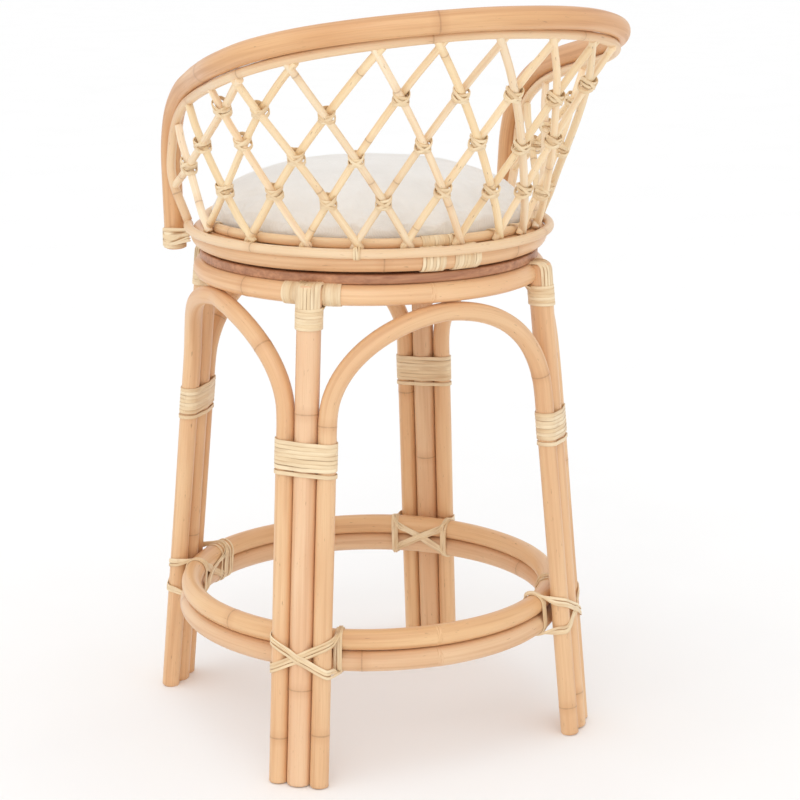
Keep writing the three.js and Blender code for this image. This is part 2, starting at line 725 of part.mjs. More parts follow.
function lattice() {
  const lines = rodLines();
  const solids = lines.map((line) => pole(rodPath(line, ROD_SPANS), ROD_R, ROD_SPANS, ROD_SIDES));
  for (const a of lines.filter((l) => l.side > 0)) {
    for (const b of lines.filter((l) => l.side < 0)) {
      const p = crossing(a, b);
      if (p) {
        const g = new THREE.OctahedronGeometry(KNOT_R, 0);
        g.translate(p.x, p.y, p.z);
        solids.push(toManifold(g));
      }
    }
  }
  const pieces = [
    pole(innerPolePoints, INNER_POLE_R + RING_NOTCH, THIN_POLE_STEPS, THIN_SIDES),
    hoop(SEAT_RING_RADIUS, SEAT_RING_Z, SEAT_RING_R + RING_NOTCH, RING_AROUND, RING_SIDES),
    hoop(INNER_RIM_RADIUS, INNER_RIM_Z, INNER_RIM_R + RIM_NOTCH, RING_AROUND, THIN_SIDES),
    hoop(OUTER_RIM_RADIUS, OUTER_RIM_Z, OUTER_RIM_R + RIM_NOTCH, RING_AROUND, THIN_SIDES),
  ];
  return largest(pieces.reduce((body, piece) => body.subtract(piece), joined(solids)));
}

// Cane wound round the seat ring between two bearings, cut clear of the rims that lie on it.
function seatRingWrap(deg0, deg1) {
  const path = arcPoints(SEAT_RING_RADIUS, SEAT_RING_Z, deg0, deg1, 3);
  const body = pole(path, around(SEAT_RING_R, WRAP_SIDES) + CANE_WALL, WRAP_STEPS, WRAP_SIDES);
  return clearOfSeatRings(body, (deg0 + deg1) / 2);
}

function clearOfSeatRings(body, deg) {
  const room = (radius, z, r, sides) => {
    const line = arcPoints(radius, z, deg - WRAP_ROOM_DEG, deg + WRAP_ROOM_DEG, RIM_ROOM_STEPS);
    return pole(line, around(r, sides), RIM_ROOM_STEPS, sides);
  };
  const ring = room(SEAT_RING_RADIUS, SEAT_RING_Z, SEAT_RING_R, WRAP_SIDES);
  const outer = room(OUTER_RIM_RADIUS, OUTER_RIM_Z, OUTER_RIM_R, RIM_ROOM_SIDES);
  const inner = room(INNER_RIM_RADIUS, INNER_RIM_Z, INNER_RIM_R, RIM_ROOM_SIDES);
  const [low, high] = [SEAT_BOARD_Z - WRAP_BORE.below, SEAT_BOARD_TOP + WRAP_BORE.above];
  const bore = cylinder(SEAT_BOARD_RADIUS + BOARD_NOTCH, low, high, BOARD_SIDES);
  return largest(body.subtract(ring).subtract(outer).subtract(inner).subtract(bore));
}

// Cane that ties the foot of an arm post to the seat ring.
function postBinding(side) {
  const foot = railCurve.getPointAt(side > 0 ? 1 : 0);
  const deg = THREE.MathUtils.radToDeg(Math.atan2(foot.x, foot.y));
  const bore = around(RAIL_R, POLE_SIDES) + POST_WRAP_SLACK;
  const tube = placed(
    band([[0, 0, bore]], CANE_WALL, POST_WRAP_Z1 - POST_WRAP_Z0, POLE_SIDES),
    new THREE.Vector3(foot.x + side * POST_WRAP_SHIFT, foot.y, (POST_WRAP_Z0 + POST_WRAP_Z1) / 2),
    new THREE.Vector3(0, 0, 1),
    new THREE.Vector3(1, 0, 0),
  );
  const higher = new THREE.Vector3(foot.x + side * POST_ROOM.out, foot.y + POST_ROOM.back, POST_ROOM.z);
  const post = pole([foot, higher], RAIL_R + POST_ROOM.slack, 1, POLE_SIDES);
  return largest(clearOfSeatRings(tube, deg).subtract(post));
}

// ---- assembly ----
const stool = new THREE.Group();
stool.name = 'rattan_swivel_stool';

function add(solid, name, material) {
  stool.add(toMesh(solid, name, material));
}

add(hoop(BASE_RING_RADIUS, BASE_RING_Z, BASE_RING_R, RING_AROUND, RING_SIDES), 'base_ring', POLE);
for (let i = 0; i < LEG_COUNT; i++) {
  add(legPole(i), `leg_pole_${i + 1}`, POLE);
  add(arch(i), `leg_arch_${i + 1}`, POLE);
  add(topBinding(i), `leg_top_binding_${i + 1}`, CANE);
  add(midBinding(i), `leg_mid_binding_${i + 1}`, CANE);
  add(footrestLashing(i), `footrest_lashing_${i + 1}`, CANE);
}
['upper', 'lower'].forEach((which, k) => {
  const z = footrestZ(k);
  add(hoop(footrestRadius(z), z, FOOTREST_R, RING_AROUND, RING_SIDES), `footrest_ring_${which}`, POLE);
});
add(baseBoard(), 'base_board', PLY);
add(plate(LOWER_PLATE_Z), 'swivel_lower_plate', STEEL);
add(race(), 'swivel_ball_race', STEEL);
add(plate(UPPER_PLATE_Z), 'swivel_upper_plate', STEEL);
screwSpots().forEach((spot, k) => {
  const lower = screw(LOWER_PLATE_Z + PLATE_THICK, BOARD_TOP - SCREW_DEPTH, spot);
  const upper = screw(UPPER_PLATE_Z, SEAT_BOARD_Z + SCREW_DEPTH, spot);
  add(lower, `lower_plate_screw_${k + 1}`, STEEL);
  add(upper, `upper_plate_screw_${k + 1}`, STEEL);
});
add(seatBoard(), 'seat_board', PLY);
add(hoop(SEAT_RING_RADIUS, SEAT_RING_Z, SEAT_RING_R, RING_AROUND, RING_SIDES), 'seat_ring', POLE);
const outerRimEnds = [-OUTER_RIM_END_DEG, OUTER_RIM_END_DEG];
const outerRimLine = arcPoints(OUTER_RIM_RADIUS, OUTER_RIM_Z, ...outerRimEnds, OUTER_RIM_STEPS);
add(poleThrough(outerRimLine, OUTER_RIM_R, THIN_SIDES), 'seat_outer_rim', THIN_POLE);
add(hoop(INNER_RIM_RADIUS, INNER_RIM_Z, INNER_RIM_R, RING_AROUND, THIN_SIDES), 'seat_inner_rim', THIN_POLE);
WRAP_DEGS.forEach(([from, to], k) => {
  add(seatRingWrap(from, to), `seat_ring_wrap_${k + 1}`, CANE);
});
add(pole(railPoints(), RAIL_R, RAIL_STEPS, RAIL_SIDES), 'top_rail', RAIL);
add(pole(innerPolePoints, INNER_POLE_R, THIN_POLE_STEPS, THIN_SIDES), 'rail_thin_pole', THIN_POLE);
add(lattice(), 'back_lattice', LATTICE);
add(postBinding(1), 'post_binding_right', CANE);
add(postBinding(-1), 'post_binding_left', CANE);
add(turned(CUSHION_PROFILE, CUSHION_SIDES), 'seat_cushion', CLOTH);

export default stool;
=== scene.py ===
"""Looks of a rattan swivel stool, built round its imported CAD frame.

Metres, +Z up, the open front of the seat faces -Y. Every pole is a swept tube and every binding is
wound from flat cane strip. Each mesh carries its own coordinates: "pole" is (across, across, along)
in metres, "joint" is the distance to the nearest rattan joint, and "tone" tells pieces apart.
"""

import math
import random

import bmesh
import bpy
import numpy as np
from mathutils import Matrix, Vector


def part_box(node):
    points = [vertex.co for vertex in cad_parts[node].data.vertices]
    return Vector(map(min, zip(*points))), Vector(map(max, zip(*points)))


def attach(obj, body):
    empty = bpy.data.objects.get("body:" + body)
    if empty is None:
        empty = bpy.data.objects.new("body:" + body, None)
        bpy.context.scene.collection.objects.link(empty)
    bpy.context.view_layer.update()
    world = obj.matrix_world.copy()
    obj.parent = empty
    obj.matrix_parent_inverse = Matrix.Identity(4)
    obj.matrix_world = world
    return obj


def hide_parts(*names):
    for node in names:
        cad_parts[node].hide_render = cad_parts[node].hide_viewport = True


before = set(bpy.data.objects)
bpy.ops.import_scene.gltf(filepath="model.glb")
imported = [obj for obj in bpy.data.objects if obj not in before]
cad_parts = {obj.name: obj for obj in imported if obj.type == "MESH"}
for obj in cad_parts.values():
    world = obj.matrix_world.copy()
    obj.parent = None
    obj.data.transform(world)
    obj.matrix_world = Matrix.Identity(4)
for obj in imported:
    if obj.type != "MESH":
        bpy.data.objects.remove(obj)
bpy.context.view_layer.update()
MM = 0.001

# ---- driving dimensions, as in the CAD ----
SWIVEL_Y = -57 * MM
LEG_COUNT = 4
LEG_FIRST_DEG = 37.6
LEG_FOOT_RADIUS = 268 * MM
LEG_LEAN = 0.0954
LEG_TOP_Z = 582.6 * MM
LEG_POLE_R = 14 * MM
SIDE_POLE_R = 11 * MM
SIDE_POLE_OFFSET = 25.3 * MM
BASE_RING_RADIUS = 201 * MM
BASE_RING_Z = 570.5 * MM
BASE_RING_R = 12.2 * MM
ARCH_SPRING_Z = 428 * MM
ARCH_APEX_Z = BASE_RING_Z - BASE_RING_R - SIDE_POLE_R - 0.3 * MM
FOOTREST_R = 12.5 * MM
FOOTREST_MID_Z = 154.8 * MM
MID_BINDING_Z = 385 * MM
COLLAR_Z = 545 * MM
COLLAR_LENGTH = 24 * MM
SLEEVE_DEG = 9.6
SADDLE_HALF = 12.5 * MM
LASH_DEG = 9.3
LASH_RISE = 18 * MM
SEAT_RING_RADIUS = 203 * MM
SEAT_RING_Z = 610 * MM
SEAT_RING_R = 13 * MM
BASE_BOARD_RADIUS, SEAT_BOARD_RADIUS = 205 * MM, 189.5 * MM
OUTER_RIM_RADIUS = 218.5 * MM
OUTER_RIM_Z = 620.4 * MM
OUTER_RIM_R = 5.7 * MM
OUTER_RIM_END_DEG = 108
INNER_RIM_RADIUS = 197 * MM
INNER_RIM_Z = 628.4 * MM
INNER_RIM_R = 6 * MM
RAIL_R = 12.4 * MM
RAIL_TILT = 0.03
RAIL_TILT_FROM_Z = 640 * MM
RAIL_TILT_FULL = 200 * MM
THIN_POLE_R = 5.6 * MM
THIN_POLE_GAP = RAIL_R + THIN_POLE_R + 0.4 * MM
THIN_POLE_START = 0.062
THIN_POLE_SPANS = 28
THIN_POLE_END = (219 * MM, 107, 624.5 * MM)
THIN_AIM_BACK = 208.3 * MM
THIN_AIM_SIDE = 298 * MM
THIN_AIM_ARM = 253 * MM
THIN_AIM_DEGS = (45, 60, 100)
THIN_AIM_SHARE = 0.72
THIN_AIM_Z = 640 * MM
ROD_R = 4.5 * MM
ROD_BOTTOM_RADIUS = 208.3 * MM
ROD_BOTTOM_Z = 626.4 * MM
ROD_FOOT_DEG = (-72, -53, -39, -26, -9.8, 7.4, 23, 39.2, 59.5, 84)
ROD_HEAD_DEG = (-102, -89, -64, -39.7, -30.9, -17.9, -5.9, 6.1, 17.7, 34.2, 46.9, 58.1, 87.4, 102)
ROD_SHEAR = 4
ROD_BOW = 0.41
FOOT_CROSS_DEG = 0.9
ROD_LAYER = 2.6 * MM
ARM_ROD_FOOT = (107.6, 668 * MM, 233 * MM)
ARM_FROM_DEG = 80
ARM_HEAD_DEG, ARM_HEAD_DROP = 2.2, 2 * MM
ROD_HEAD_GAP = 4 * MM
HIGHER_IS_NEARER = 2.0
LATTICE_END_DEG = 104
LATTICE_RISE = (-0.1, 1.15)
ROD_REACH = (-0.012, 1.0, 1.035)  # shares of its line from which a rod starts, and to which it runs on
ROD_EASE = 7
KNOT_REACH = 9 * MM
POST_WRAP = (588.5 * MM, 612 * MM)
SEAT_WRAP_DEGS = ((3, -4.5), (-7.5, -17))
INNER_WRAP_DEG = (2, -9)
TIED_OUTSIDE = (6,)
TIE_REACH, TIE_PITCH_DEG = 9.5 * MM, 0.75
RAIL_HALF = (
    (0, 343, 885),
    (65, 336, 883),
    (124, 314, 878),
    (176, 277, 869),
    (216, 234, 856),
    (235, 180, 840),
    (233, 112, 825),
    (227, 45, 810),
    (224.5, -18, 789),
    (223, -65, 757),
    (222, -88, 715),
    (220.5, -93.5, 666),
    (218, -96, 586.6),
)

CANE_WIDTH = 4.1 * MM
CANE_THICK = 1.1 * MM


# ---- curves ----
def unit(v):
    return v / np.linalg.norm(v)


def polar(radius, deg, z):
    """Point at a bearing measured from the back (+Y) towards +X, round the swivel axis."""
    a = math.radians(deg)
    return np.array((radius * math.sin(a), SWIVEL_Y + radius * math.cos(a), z))


def heading(deg):
    a = math.radians(deg)
    return np.array((math.sin(a), math.cos(a), 0.0))


UP = np.array((0.0, 0.0, 1.0))


def spline(points, per_span=14):
    """Dense points on the centripetal Catmull-Rom curve through points."""
    p = np.array(points, float)
    p = np.vstack((2 * p[0] - p[1], p, 2 * p[-1] - p[-2]))
    out = []
    t = np.linspace(0, 1, per_span, endpoint=False)[:, None]
    for a, b, c, d in zip(p, p[1:], p[2:], p[3:]):
        d0, d1, d2 = (max(np.linalg.norm(v), 1e-9) ** 0.5 for v in (b - a, c - b, d - c))
        m1 = ((b - a) / d0 - (c - a) / (d0 + d1) + (c - b) / d1) * d1
        m2 = ((c - b) / d1 - (d - b) / (d1 + d2) + (d - c) / d2) * d1
        out.append(b + m1 * t + (3 * (c - b) - 2 * m1 - m2) * t**2 + (2 * (b - c) + m1 + m2) * t**3)
    return np.vstack((*out, p[-2]))


def closed_spline(points, per_span=14):
    """The same curve closed into a loop."""
    n = len(points)
    loop = spline([*points[-2:], *points, *points[:2]], per_span)
    return loop[2 * per_span : (2 + n) * per_span]


def lengths(path):
    return np.concatenate(([0], np.cumsum(np.linalg.norm(np.diff(path, axis=0), axis=1))))


def at_length(path, s):
    """Points of a path at the given lengths along it."""
    run = lengths(path)
    return np.column_stack([np.interp(s, run, path[:, k]) for k in range(path.shape[1])])


def even(path, step, extra=()):
    """The path again with a point every step, and one at each extra length."""
    total = lengths(path)[-1]
    s = np.linspace(0, total, max(2, round(total / step)) + 1)
    s = np.unique(np.concatenate((s, [x for x in extra if 0 < x < total])))
    return at_length(path, s), s


def tangents(path, closed):
    if closed:
        d = np.roll(path, -1, 0) - np.roll(path, 1, 0)
    else:
        d = np.gradient(path, axis=0)
    return d / np.linalg.norm(d, axis=1)[:, None]


def transported(path, closed):
    """Tangents and a normal at each point that turns as little as it can."""
    t = tangents(path, closed)
    side = np.cross(t[0], UP)
    if np.linalg.norm(side) < 0.2:
        side = np.cross(t[0], (1.0, 0.0, 0.0))
    n = [unit(side)]
    for a in t[1:]:
        n.append(unit(n[-1] - a * np.dot(n[-1], a)))
    return t, np.array(n)


def circle_arc(radius, z, deg0, deg1, step=6 * MM):
    count = max(3, round(radius * math.radians(abs(deg1 - deg0)) / step))
    return np.array([polar(radius, d, z) for d in np.linspace(deg0, deg1, count + 1)])


# ---- mesh building ----
FAR = 1.0
FIRST_JOINT = (0.1, 0.9)  # where the first joint of a pole can be, as shares of the shortest gap
JOINT_RINGS = (-2.5, -1, 0, 1, 2.5)  # rings of points that model one joint, in mm from it
JOINT_SWELL, JOINT_REACH = 0.022, 3 * MM
UNEVEN, UNEVEN_RATE = 0.012, 21  # slow change of a pole's radius along it
WANDER_RATES, WANDER_FADE = (17, 23), 50 * MM
END_SOFT = 0.14
END_STEPS = ((0.0, 0.80), (0.3, 0.93), (1.0, 1.0))  # a rubbed end: (way in, share of the radius)
STRIP_HALF = ((-0.5, 0.0), (-0.5, 0.86), (-0.45, 0.97))  # half a strip's section, in widths and thicknesses
STRIP_SECTION = (*STRIP_HALF, (0.0, 1.0), *((-x, y) for x, y in STRIP_HALF[::-1]))
TURN_PACK = 0.98
TURN_LIFT = 0.15
TURN_WIDTH = (0.97, 1.03)


class Piece:
    """Collects tubes and cane strips, and becomes one object."""

    def __init__(self, name):
        self.name = name
        self.rng = random.Random(name)
        self.verts, self.faces = [], []
        self.pole, self.joint, self.tone = [], [], []

    def add(self, verts, faces, pole, joint, tone):
        base = len(self.verts)
        self.verts += [tuple(v) for v in verts]
        self.faces += [tuple(base + i for i in f) for f in faces]
        self.pole += [tuple(p) for p in pole]
        self.joint += list(joint)
        self.tone += [tone] * len(verts)

    def tube(self, path, radius, sides=20, closed=False, joint_gap=(0.3, 0.5), step=7 * MM, wander=0.0):
        """A rattan pole: a round tube along path, a little swollen at its joints, with softened ends."""
        rng = self.rng
        if closed:
            path = np.vstack((path, path[:1]))
        total = lengths(path)[-1]
        joints, s = [], rng.uniform(*FIRST_JOINT) * joint_gap[0]
        while s < total:
            joints.append(s)
            s += rng.uniform(*joint_gap)
        extra = [j + d * MM for j in joints for d in JOINT_RINGS]
        path, run = even(path, step, extra)
        if closed:
            path, run = path[:-1], run[:-1]
        t, n = transported(path, closed)
        near = np.array([min((abs(x - j) for j in joints), default=FAR) for x in run])
        phase = rng.uniform(0, 6)
        swollen = JOINT_SWELL * np.exp(-((near / JOINT_REACH) ** 2))
        r = radius * (1 + swollen + UNEVEN * np.sin(run * UNEVEN_RATE + phase))
        if wander:
            b = np.cross(t, n)
            ends = np.minimum(run, total - run) / WANDER_FADE
            fade = np.ones_like(run) if closed else np.clip(ends, 0, 1)
            one, other = (np.sin(run * WANDER_RATES[0] + phase), np.cos(run * WANDER_RATES[1] + phase))
            path = path + (n * one[:, None] + b * other[:, None]) * (wander * fade[:, None])
        if not closed:
            path, r, run, near, t, n = self.rounded_ends(path, r, run, near, t, n, radius)
        b = np.cross(t, n)
        angle = np.linspace(0, 2 * math.pi, sides, endpoint=False)
        ring = np.cos(angle)[None, :, None] * n[:, None] + np.sin(angle)[None, :, None] * b[:, None]
        verts = (path[:, None] + ring * r[:, None, None]).reshape(-1, 3)
        pole = np.stack(
            (
                np.broadcast_to(np.cos(angle) * radius, (len(path), sides)),
                np.broadcast_to(np.sin(angle) * radius, (len(path), sides)),
                np.broadcast_to(run[:, None] + phase, (len(path), sides)),
            ),
            -1,
        ).reshape(-1, 3)
        faces = []
        rows = len(path) if closed else len(path) - 1
        shift = self.seam_shift(path, n, sides, t) if closed else 0
        for i in range(rows):
            j = (i + 1) % len(path)
            turned_by = shift if j < i else 0
            for k in range(sides):
                m = (k + 1) % sides
                far = [j * sides + (q + turned_by) % sides for q in (m, k)]
                faces.append((i * sides + k, i * sides + m, *far))
        if not closed:
            faces.append(tuple(range(sides))[::-1])
            faces.append(tuple((len(path) - 1) * sides + k for k in range(sides)))
        self.add(verts, faces, pole, np.repeat(near, sides), rng.random())

    @staticmethod
    def seam_shift(path, n, sides, t):
        """How many facets the last ring of a closed tube has turned from the first."""
        last = n[-1] - t[0] * np.dot(n[-1], t[0])
        b = np.cross(t[0], n[0])
        turn = math.atan2(np.dot(last, b), np.dot(last, n[0]))
        return round(turn / (2 * math.pi) * sides) % sides

    @staticmethod
    def rounded_ends(path, r, run, near, t, n, radius):
        """A pole's cut ends, with their edges rubbed round."""
        soft = END_SOFT * radius
        head = [path[0] + t[0] * soft * a for a, _ in END_STEPS]
        tail = [path[-1] - t[-1] * soft * a for a, _ in END_STEPS][::-1]
        shrink = np.array([k for _, k in END_STEPS])
        keep = slice(1, -1)
        path = np.vstack((head, path[keep], tail))
        r = np.concatenate((shrink * r[0], r[keep], shrink[::-1] * r[-1]))
        run_head = [run[0] + soft * a for a, _ in END_STEPS]
        run_tail = [run[-1] - soft * a for a, _ in END_STEPS][::-1]
        run = np.concatenate((run_head, run[keep], run_tail))
        near = np.concatenate(([near[0]] * 3, near[keep], [near[-1]] * 3))
        t = np.vstack(([t[0]] * 3, t[keep], [t[-1]] * 3))
        n = np.vstack(([n[0]] * 3, n[keep], [n[-1]] * 3))
        return path, r, run, near, t, n

    def strip(self, path, out, width=CANE_WIDTH, thick=CANE_THICK, closed=False):
        """A flat cane strip lying on path, its crowned face towards out."""
        path, out = np.asarray(path, float), np.asarray(out, float)
        t = tangents(path, closed)
        out = out - t * np.sum(out * t, 1)[:, None]
        out /= np.linalg.norm(out, axis=1)[:, None]
        across = np.cross(t, out)
        run = lengths(path)
        lines = [path + across * (x * width) + out * (y * thick) for x, y in STRIP_SECTION]
        verts = np.stack(lines, 1).reshape(-1, 3)
        offset = self.rng.uniform(0, 5)
        pole = [(x * width, y * thick, s + offset) for s in run for x, y in STRIP_SECTION]
        m = len(STRIP_SECTION)
        rows = len(path) if closed else len(path) - 1
        faces = []
        for i in range(rows):
            j = (i + 1) % len(path)
            for k in range(m):
                q = (k + 1) % m
                faces.append((i * m + k, j * m + k, j * m + q, i * m + q))
        if not closed:
            faces.append(tuple(range(m)))
            faces.append(tuple((len(path) - 1) * m + k for k in range(m))[::-1])
        self.add(verts, faces, pole, np.ones(len(verts)), self.rng.random())

    def wound(self, outline, frame_at, length, width=CANE_WIDTH, thick=CANE_THICK, sway=0.3 * MM):
        """Cane strip wound in turns round an outline; frame_at(s) is the middle and its two axes at s."""
        turns = max(1, round(length / (width * TURN_PACK)))
        m = len(outline)
        edge = np.roll(outline, -1, 0) - np.roll(outline, 1, 0)
        facing = np.column_stack((edge[:, 1], -edge[:, 0]))
        facing /= np.linalg.norm(facing, axis=1)[:, None]
        pitch = (length - width) / max(1, turns - 1)
        for k in range(turns):
            lift = self.rng.uniform(0, TURN_LIFT) * thick
            tilt, phase = self.rng.uniform(-sway, sway), self.rng.uniform(0, 2 * math.pi)
            start = -length / 2 + width / 2 + k * pitch
            path, out = [], []
            for j in range(m):
                u = j / m
                s = start + tilt * math.sin(2 * math.pi * u + phase)
                mid, ex, ey = frame_at(s)
                direction = ex * facing[j, 0] + ey * facing[j, 1]
                path.append(mid + ex * outline[j, 0] + ey * outline[j, 1] + direction * lift)
                out.append(direction)
            wide = max(width, pitch) * self.rng.uniform(*TURN_WIDTH)
            self.strip(path, out, wide, thick, closed=True)

    def build(self, material, slot, body, nodes=()):
        mesh = bpy.data.meshes.new(self.name)
        mesh.from_pydata(self.verts, [], self.faces)
        bm = bmesh.new()
        bm.from_mesh(mesh)
        bmesh.ops.recalc_face_normals(bm, faces=bm.faces)
        bm.to_mesh(mesh)
        bm.free()
        pole = mesh.attributes.new("pole", "FLOAT_VECTOR", "POINT")
        pole.data.foreach_set("vector", np.array(self.pole, np.float32).ravel())
        for label, values in (("joint", self.joint), ("tone", self.tone)):
            a = mesh.attributes.new(label, "FLOAT", "POINT")
            a.data.foreach_set("value", np.array(values, np.float32))
        mesh.shade_smooth()
        mesh.set_sharp_from_angle(angle=math.radians(50))
        o = bpy.data.objects.new(self.name, mesh)
        return settle(o, material, slot, body, nodes)


def settle(o, material, slot, body, nodes):
    if o.name not in bpy.context.scene.collection.objects:
        bpy.context.scene.collection.objects.link(o)
    o.data.materials.clear()
    o.data.materials.append(material)
    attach(o, body)
    if nodes:
        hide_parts(*nodes)
    return o


def hull(circles, grow, count):
    """Even points round the convex hull of circles (x, y, r), each grown by grow."""
    pts = [
        (x + (r + grow) * math.cos(a), y + (r + grow) * math.sin(a))
        for x, y, r in circles
        for a in np.linspace(0, 2 * math.pi, 40, endpoint=False)
    ]
    pts = sorted(pts)

    def chain(seq):
        line = []
        for p in seq:
            while len(line) > 1 and turn(line[-2], line[-1], p) <= 0:
                line.pop()
            line.append(p)
        return line[:-1]

    loop = np.array(chain(pts) + chain(pts[::-1]))
    loop = np.vstack((loop, loop[:1]))
    total = lengths(loop)[-1]
    return at_length(loop, np.linspace(0, total, count, endpoint=False))


def turn(o, p, q):
    return (p[0] - o[0]) * (q[1] - o[1]) - (p[1] - o[1]) * (q[0] - o[0])


# ---- materials ----
def linear(r, g, b):
    def one(c):
        c /= 255
        return c / 12.92 if c <= 0.04045 else ((c + 0.055) / 1.055) ** 2.4

    return (one(r), one(g), one(b), 1.0)


class Shader:
    """A material's node tree, with short calls for the nodes used here."""

    def __init__(self, name, roughness, **sockets):
        self.material = bpy.data.materials.new(name)
        self.material.use_nodes = True
        self.tree = self.material.node_tree
        self.bsdf = self.tree.nodes["Principled BSDF"]
        self.bsdf.inputs["Roughness"].default_value = roughness
        for key, value in sockets.items():
            self.bsdf.inputs[key.replace("_", " ")].default_value = value

    def node(self, kind, values=None, **settings):
        n = self.tree.nodes.new("ShaderNode" + kind)
        for key, value in settings.items():
            setattr(n, key, value)
        for key, value in (values or {}).items():
            if isinstance(value, bpy.types.NodeSocket):
                self.tree.links.new(value, n.inputs[key])
            else:
                n.inputs[key].default_value = value
        return n

    def attribute(self, name):
        n = self.node("Attribute", attribute_name=name)
        return n.outputs["Vector"] if name == "pole" else n.outputs["Fac"]

    def scaled(self, vector, scale):
        return self.node("Mapping", {"Vector": vector, "Scale": scale}).outputs[0]

    def noise(self, vector, scale, detail=3.0, roughness=0.55):
        values = {"Vector": self.scaled(vector, scale), "Scale": 1.0}
        values.update({"Detail": detail, "Roughness": roughness})
        return self.node("TexNoise", values).outputs["Fac"]

    def ramp(self, value, low, high, out_low=0.0, out_high=1.0):
        values = {"Value": value, "From Min": low, "From Max": high, "To Min": out_low, "To Max": out_high}
        return self.node("MapRange", values, clamp=True).outputs[0]

    def math(self, operation, a, b):
        return self.node("Math", {0: a, 1: b}, operation=operation).outputs[0]

    def mix(self, factor, a, b, blend="MIX"):
        n = self.node("Mix", {"Factor": factor}, data_type="RGBA", blend_type=blend)
        colour = [i for i in n.inputs if i.type == "RGBA"]
        for socket, value in zip(colour, (a, b)):
            if isinstance(value, bpy.types.NodeSocket):
                self.tree.links.new(value, socket)
            else:
                socket.default_value = value
        return [o for o in n.outputs if o.type == "RGBA"][0]

    def bump(self, height, strength, distance):
        previous = self.bsdf.inputs["Normal"].links
        values = {"Height": height, "Strength": strength, "Distance": distance}
        if previous:
            values["Normal"] = previous[0].from_socket
        self.tree.links.new(self.node("Bump", values).outputs[0], self.bsdf.inputs["Normal"])

    def set(self, socket, value):
        self.tree.links.new(value, self.bsdf.inputs[socket])


def rattan(name, light, body, deep, roughness=0.42, streaks=1.0, flecks=0.5, joint_dark=0.34):
    """Peeled rattan pole: fibres along it, slow changes of colour, brown joints and flecks."""
    s = Shader(name, roughness, Coat_Weight=0.22, Coat_Roughness=0.3, Subsurface_Weight=0.04)
    s.bsdf.inputs["Subsurface Radius"].default_value = (0.004, 0.002, 0.001)
    pole, tone = s.attribute("pole"), s.attribute("tone")
    joint = s.attribute("joint")
    fibre = s.noise(pole, (950, 950, 14), 4.0, 0.6)
    band = s.noise(pole, (140, 140, 4), 2.0)
    broad = s.noise(pole, (26, 26, 5), 2.0)
    colour = s.mix(s.ramp(broad, 0.3, 0.72), body, light)
    colour = s.mix(s.ramp(band, 0.48, 0.78, 0.0, 0.55 * streaks), colour, deep)
    colour = s.mix(s.ramp(fibre, 0.5, 0.8, 0.0, 0.35 * streaks), colour, deep)
    shade = s.ramp(tone, 0.0, 1.0, 0.94, 1.05)
    hue = s.math("PINGPONG", s.math("MULTIPLY", tone, 3.7), 1.0)
    green = s.math("MULTIPLY", shade, s.ramp(hue, 0.0, 1.0, 0.972, 1.012))
    blue = s.math("MULTIPLY", shade, s.ramp(hue, 0.0, 1.0, 0.88, 1.08))
    colour = s.mix(1.0, colour, s.node("CombineColor", {0: shade, 1: green, 2: blue}).outputs[0], "MULTIPLY")
    brown = linear(126, 84, 50)
    spots = s.noise(pole, (420, 420, 60), 2.0, 0.7)
    colour = s.mix(s.ramp(spots, 0.68, 0.75, 0.0, flecks), colour, brown)
    ragged = s.math("ADD", joint, s.math("MULTIPLY", s.noise(pole, (240, 240, 30), 2.0), 0.0016))
    line = s.ramp(ragged, 0.0009, 0.0021, joint_dark, 0.0)
    halo = s.ramp(ragged, 0.001, 0.012, 0.32, 0.0)
    colour = s.mix(halo, colour, deep)
    colour = s.mix(line, colour, brown)
    s.set("Base Color", colour)
    s.set("Roughness", s.ramp(band, 0.25, 0.8, roughness - 0.07, roughness + 0.14))
    s.bump(fibre, 0.22, 0.0006)
    s.bump(s.ramp(ragged, 0.0, 0.002), 0.5, 0.0006)
    return s.material


def cane(name, light, body, deep, roughness=0.5):
    """Flat cane strip: long fibres, painted shade on its edges where the turns meet, and a tone of its own
    on each turn.
    """
    s = Shader(name, roughness, Coat_Weight=0.1, Coat_Roughness=0.35)
    pole, tone = s.attribute("pole"), s.attribute("tone")
    fibre = s.noise(pole, (1500, 1500, 30), 4.0, 0.65)
    broad = s.noise(pole, (120, 120, 22), 2.0)
    colour = s.mix(s.ramp(tone, 0.0, 1.0), body, light)
    colour = s.mix(s.ramp(broad, 0.45, 0.8, 0.0, 0.7), colour, deep)
    colour = s.mix(s.ramp(fibre, 0.5, 0.8, 0.0, 0.45), colour, deep)
    across = s.node("SeparateXYZ", {0: pole}).outputs[0]
    # painted shade: the strip's sides, which sit in the seams between neighbouring turns, are mixed towards
    # a dark brown
    edge = s.ramp(s.math("ABSOLUTE", across, 0.0), 0.0017, 0.0024, 0.0, 0.2)
    colour = s.mix(edge, colour, linear(150, 108, 66))
    s.set("Base Color", colour)
    s.bump(fibre, 0.3, 0.0005)
    return s.material


def stained_wood(name):
    """Brown plywood board: long grain across the face and the plies round its edge."""
    s = Shader(name, 0.5, Coat_Weight=0.15, Coat_Roughness=0.35)
    place = s.node("TexCoord").outputs["Object"]
    grain = s.noise(place, (14, 190, 190), 5.0, 0.6)
    broad = s.noise(place, (5, 30, 60), 3.0)
    colour = s.mix(s.ramp(grain, 0.35, 0.7), linear(204, 148, 108), linear(160, 104, 72))
    colour = s.mix(s.ramp(broad, 0.4, 0.75, 0.0, 0.6), colour, linear(128, 78, 52))
    s.set("Base Color", colour)
    s.bump(grain, 0.35, 0.0006)
    return s.material


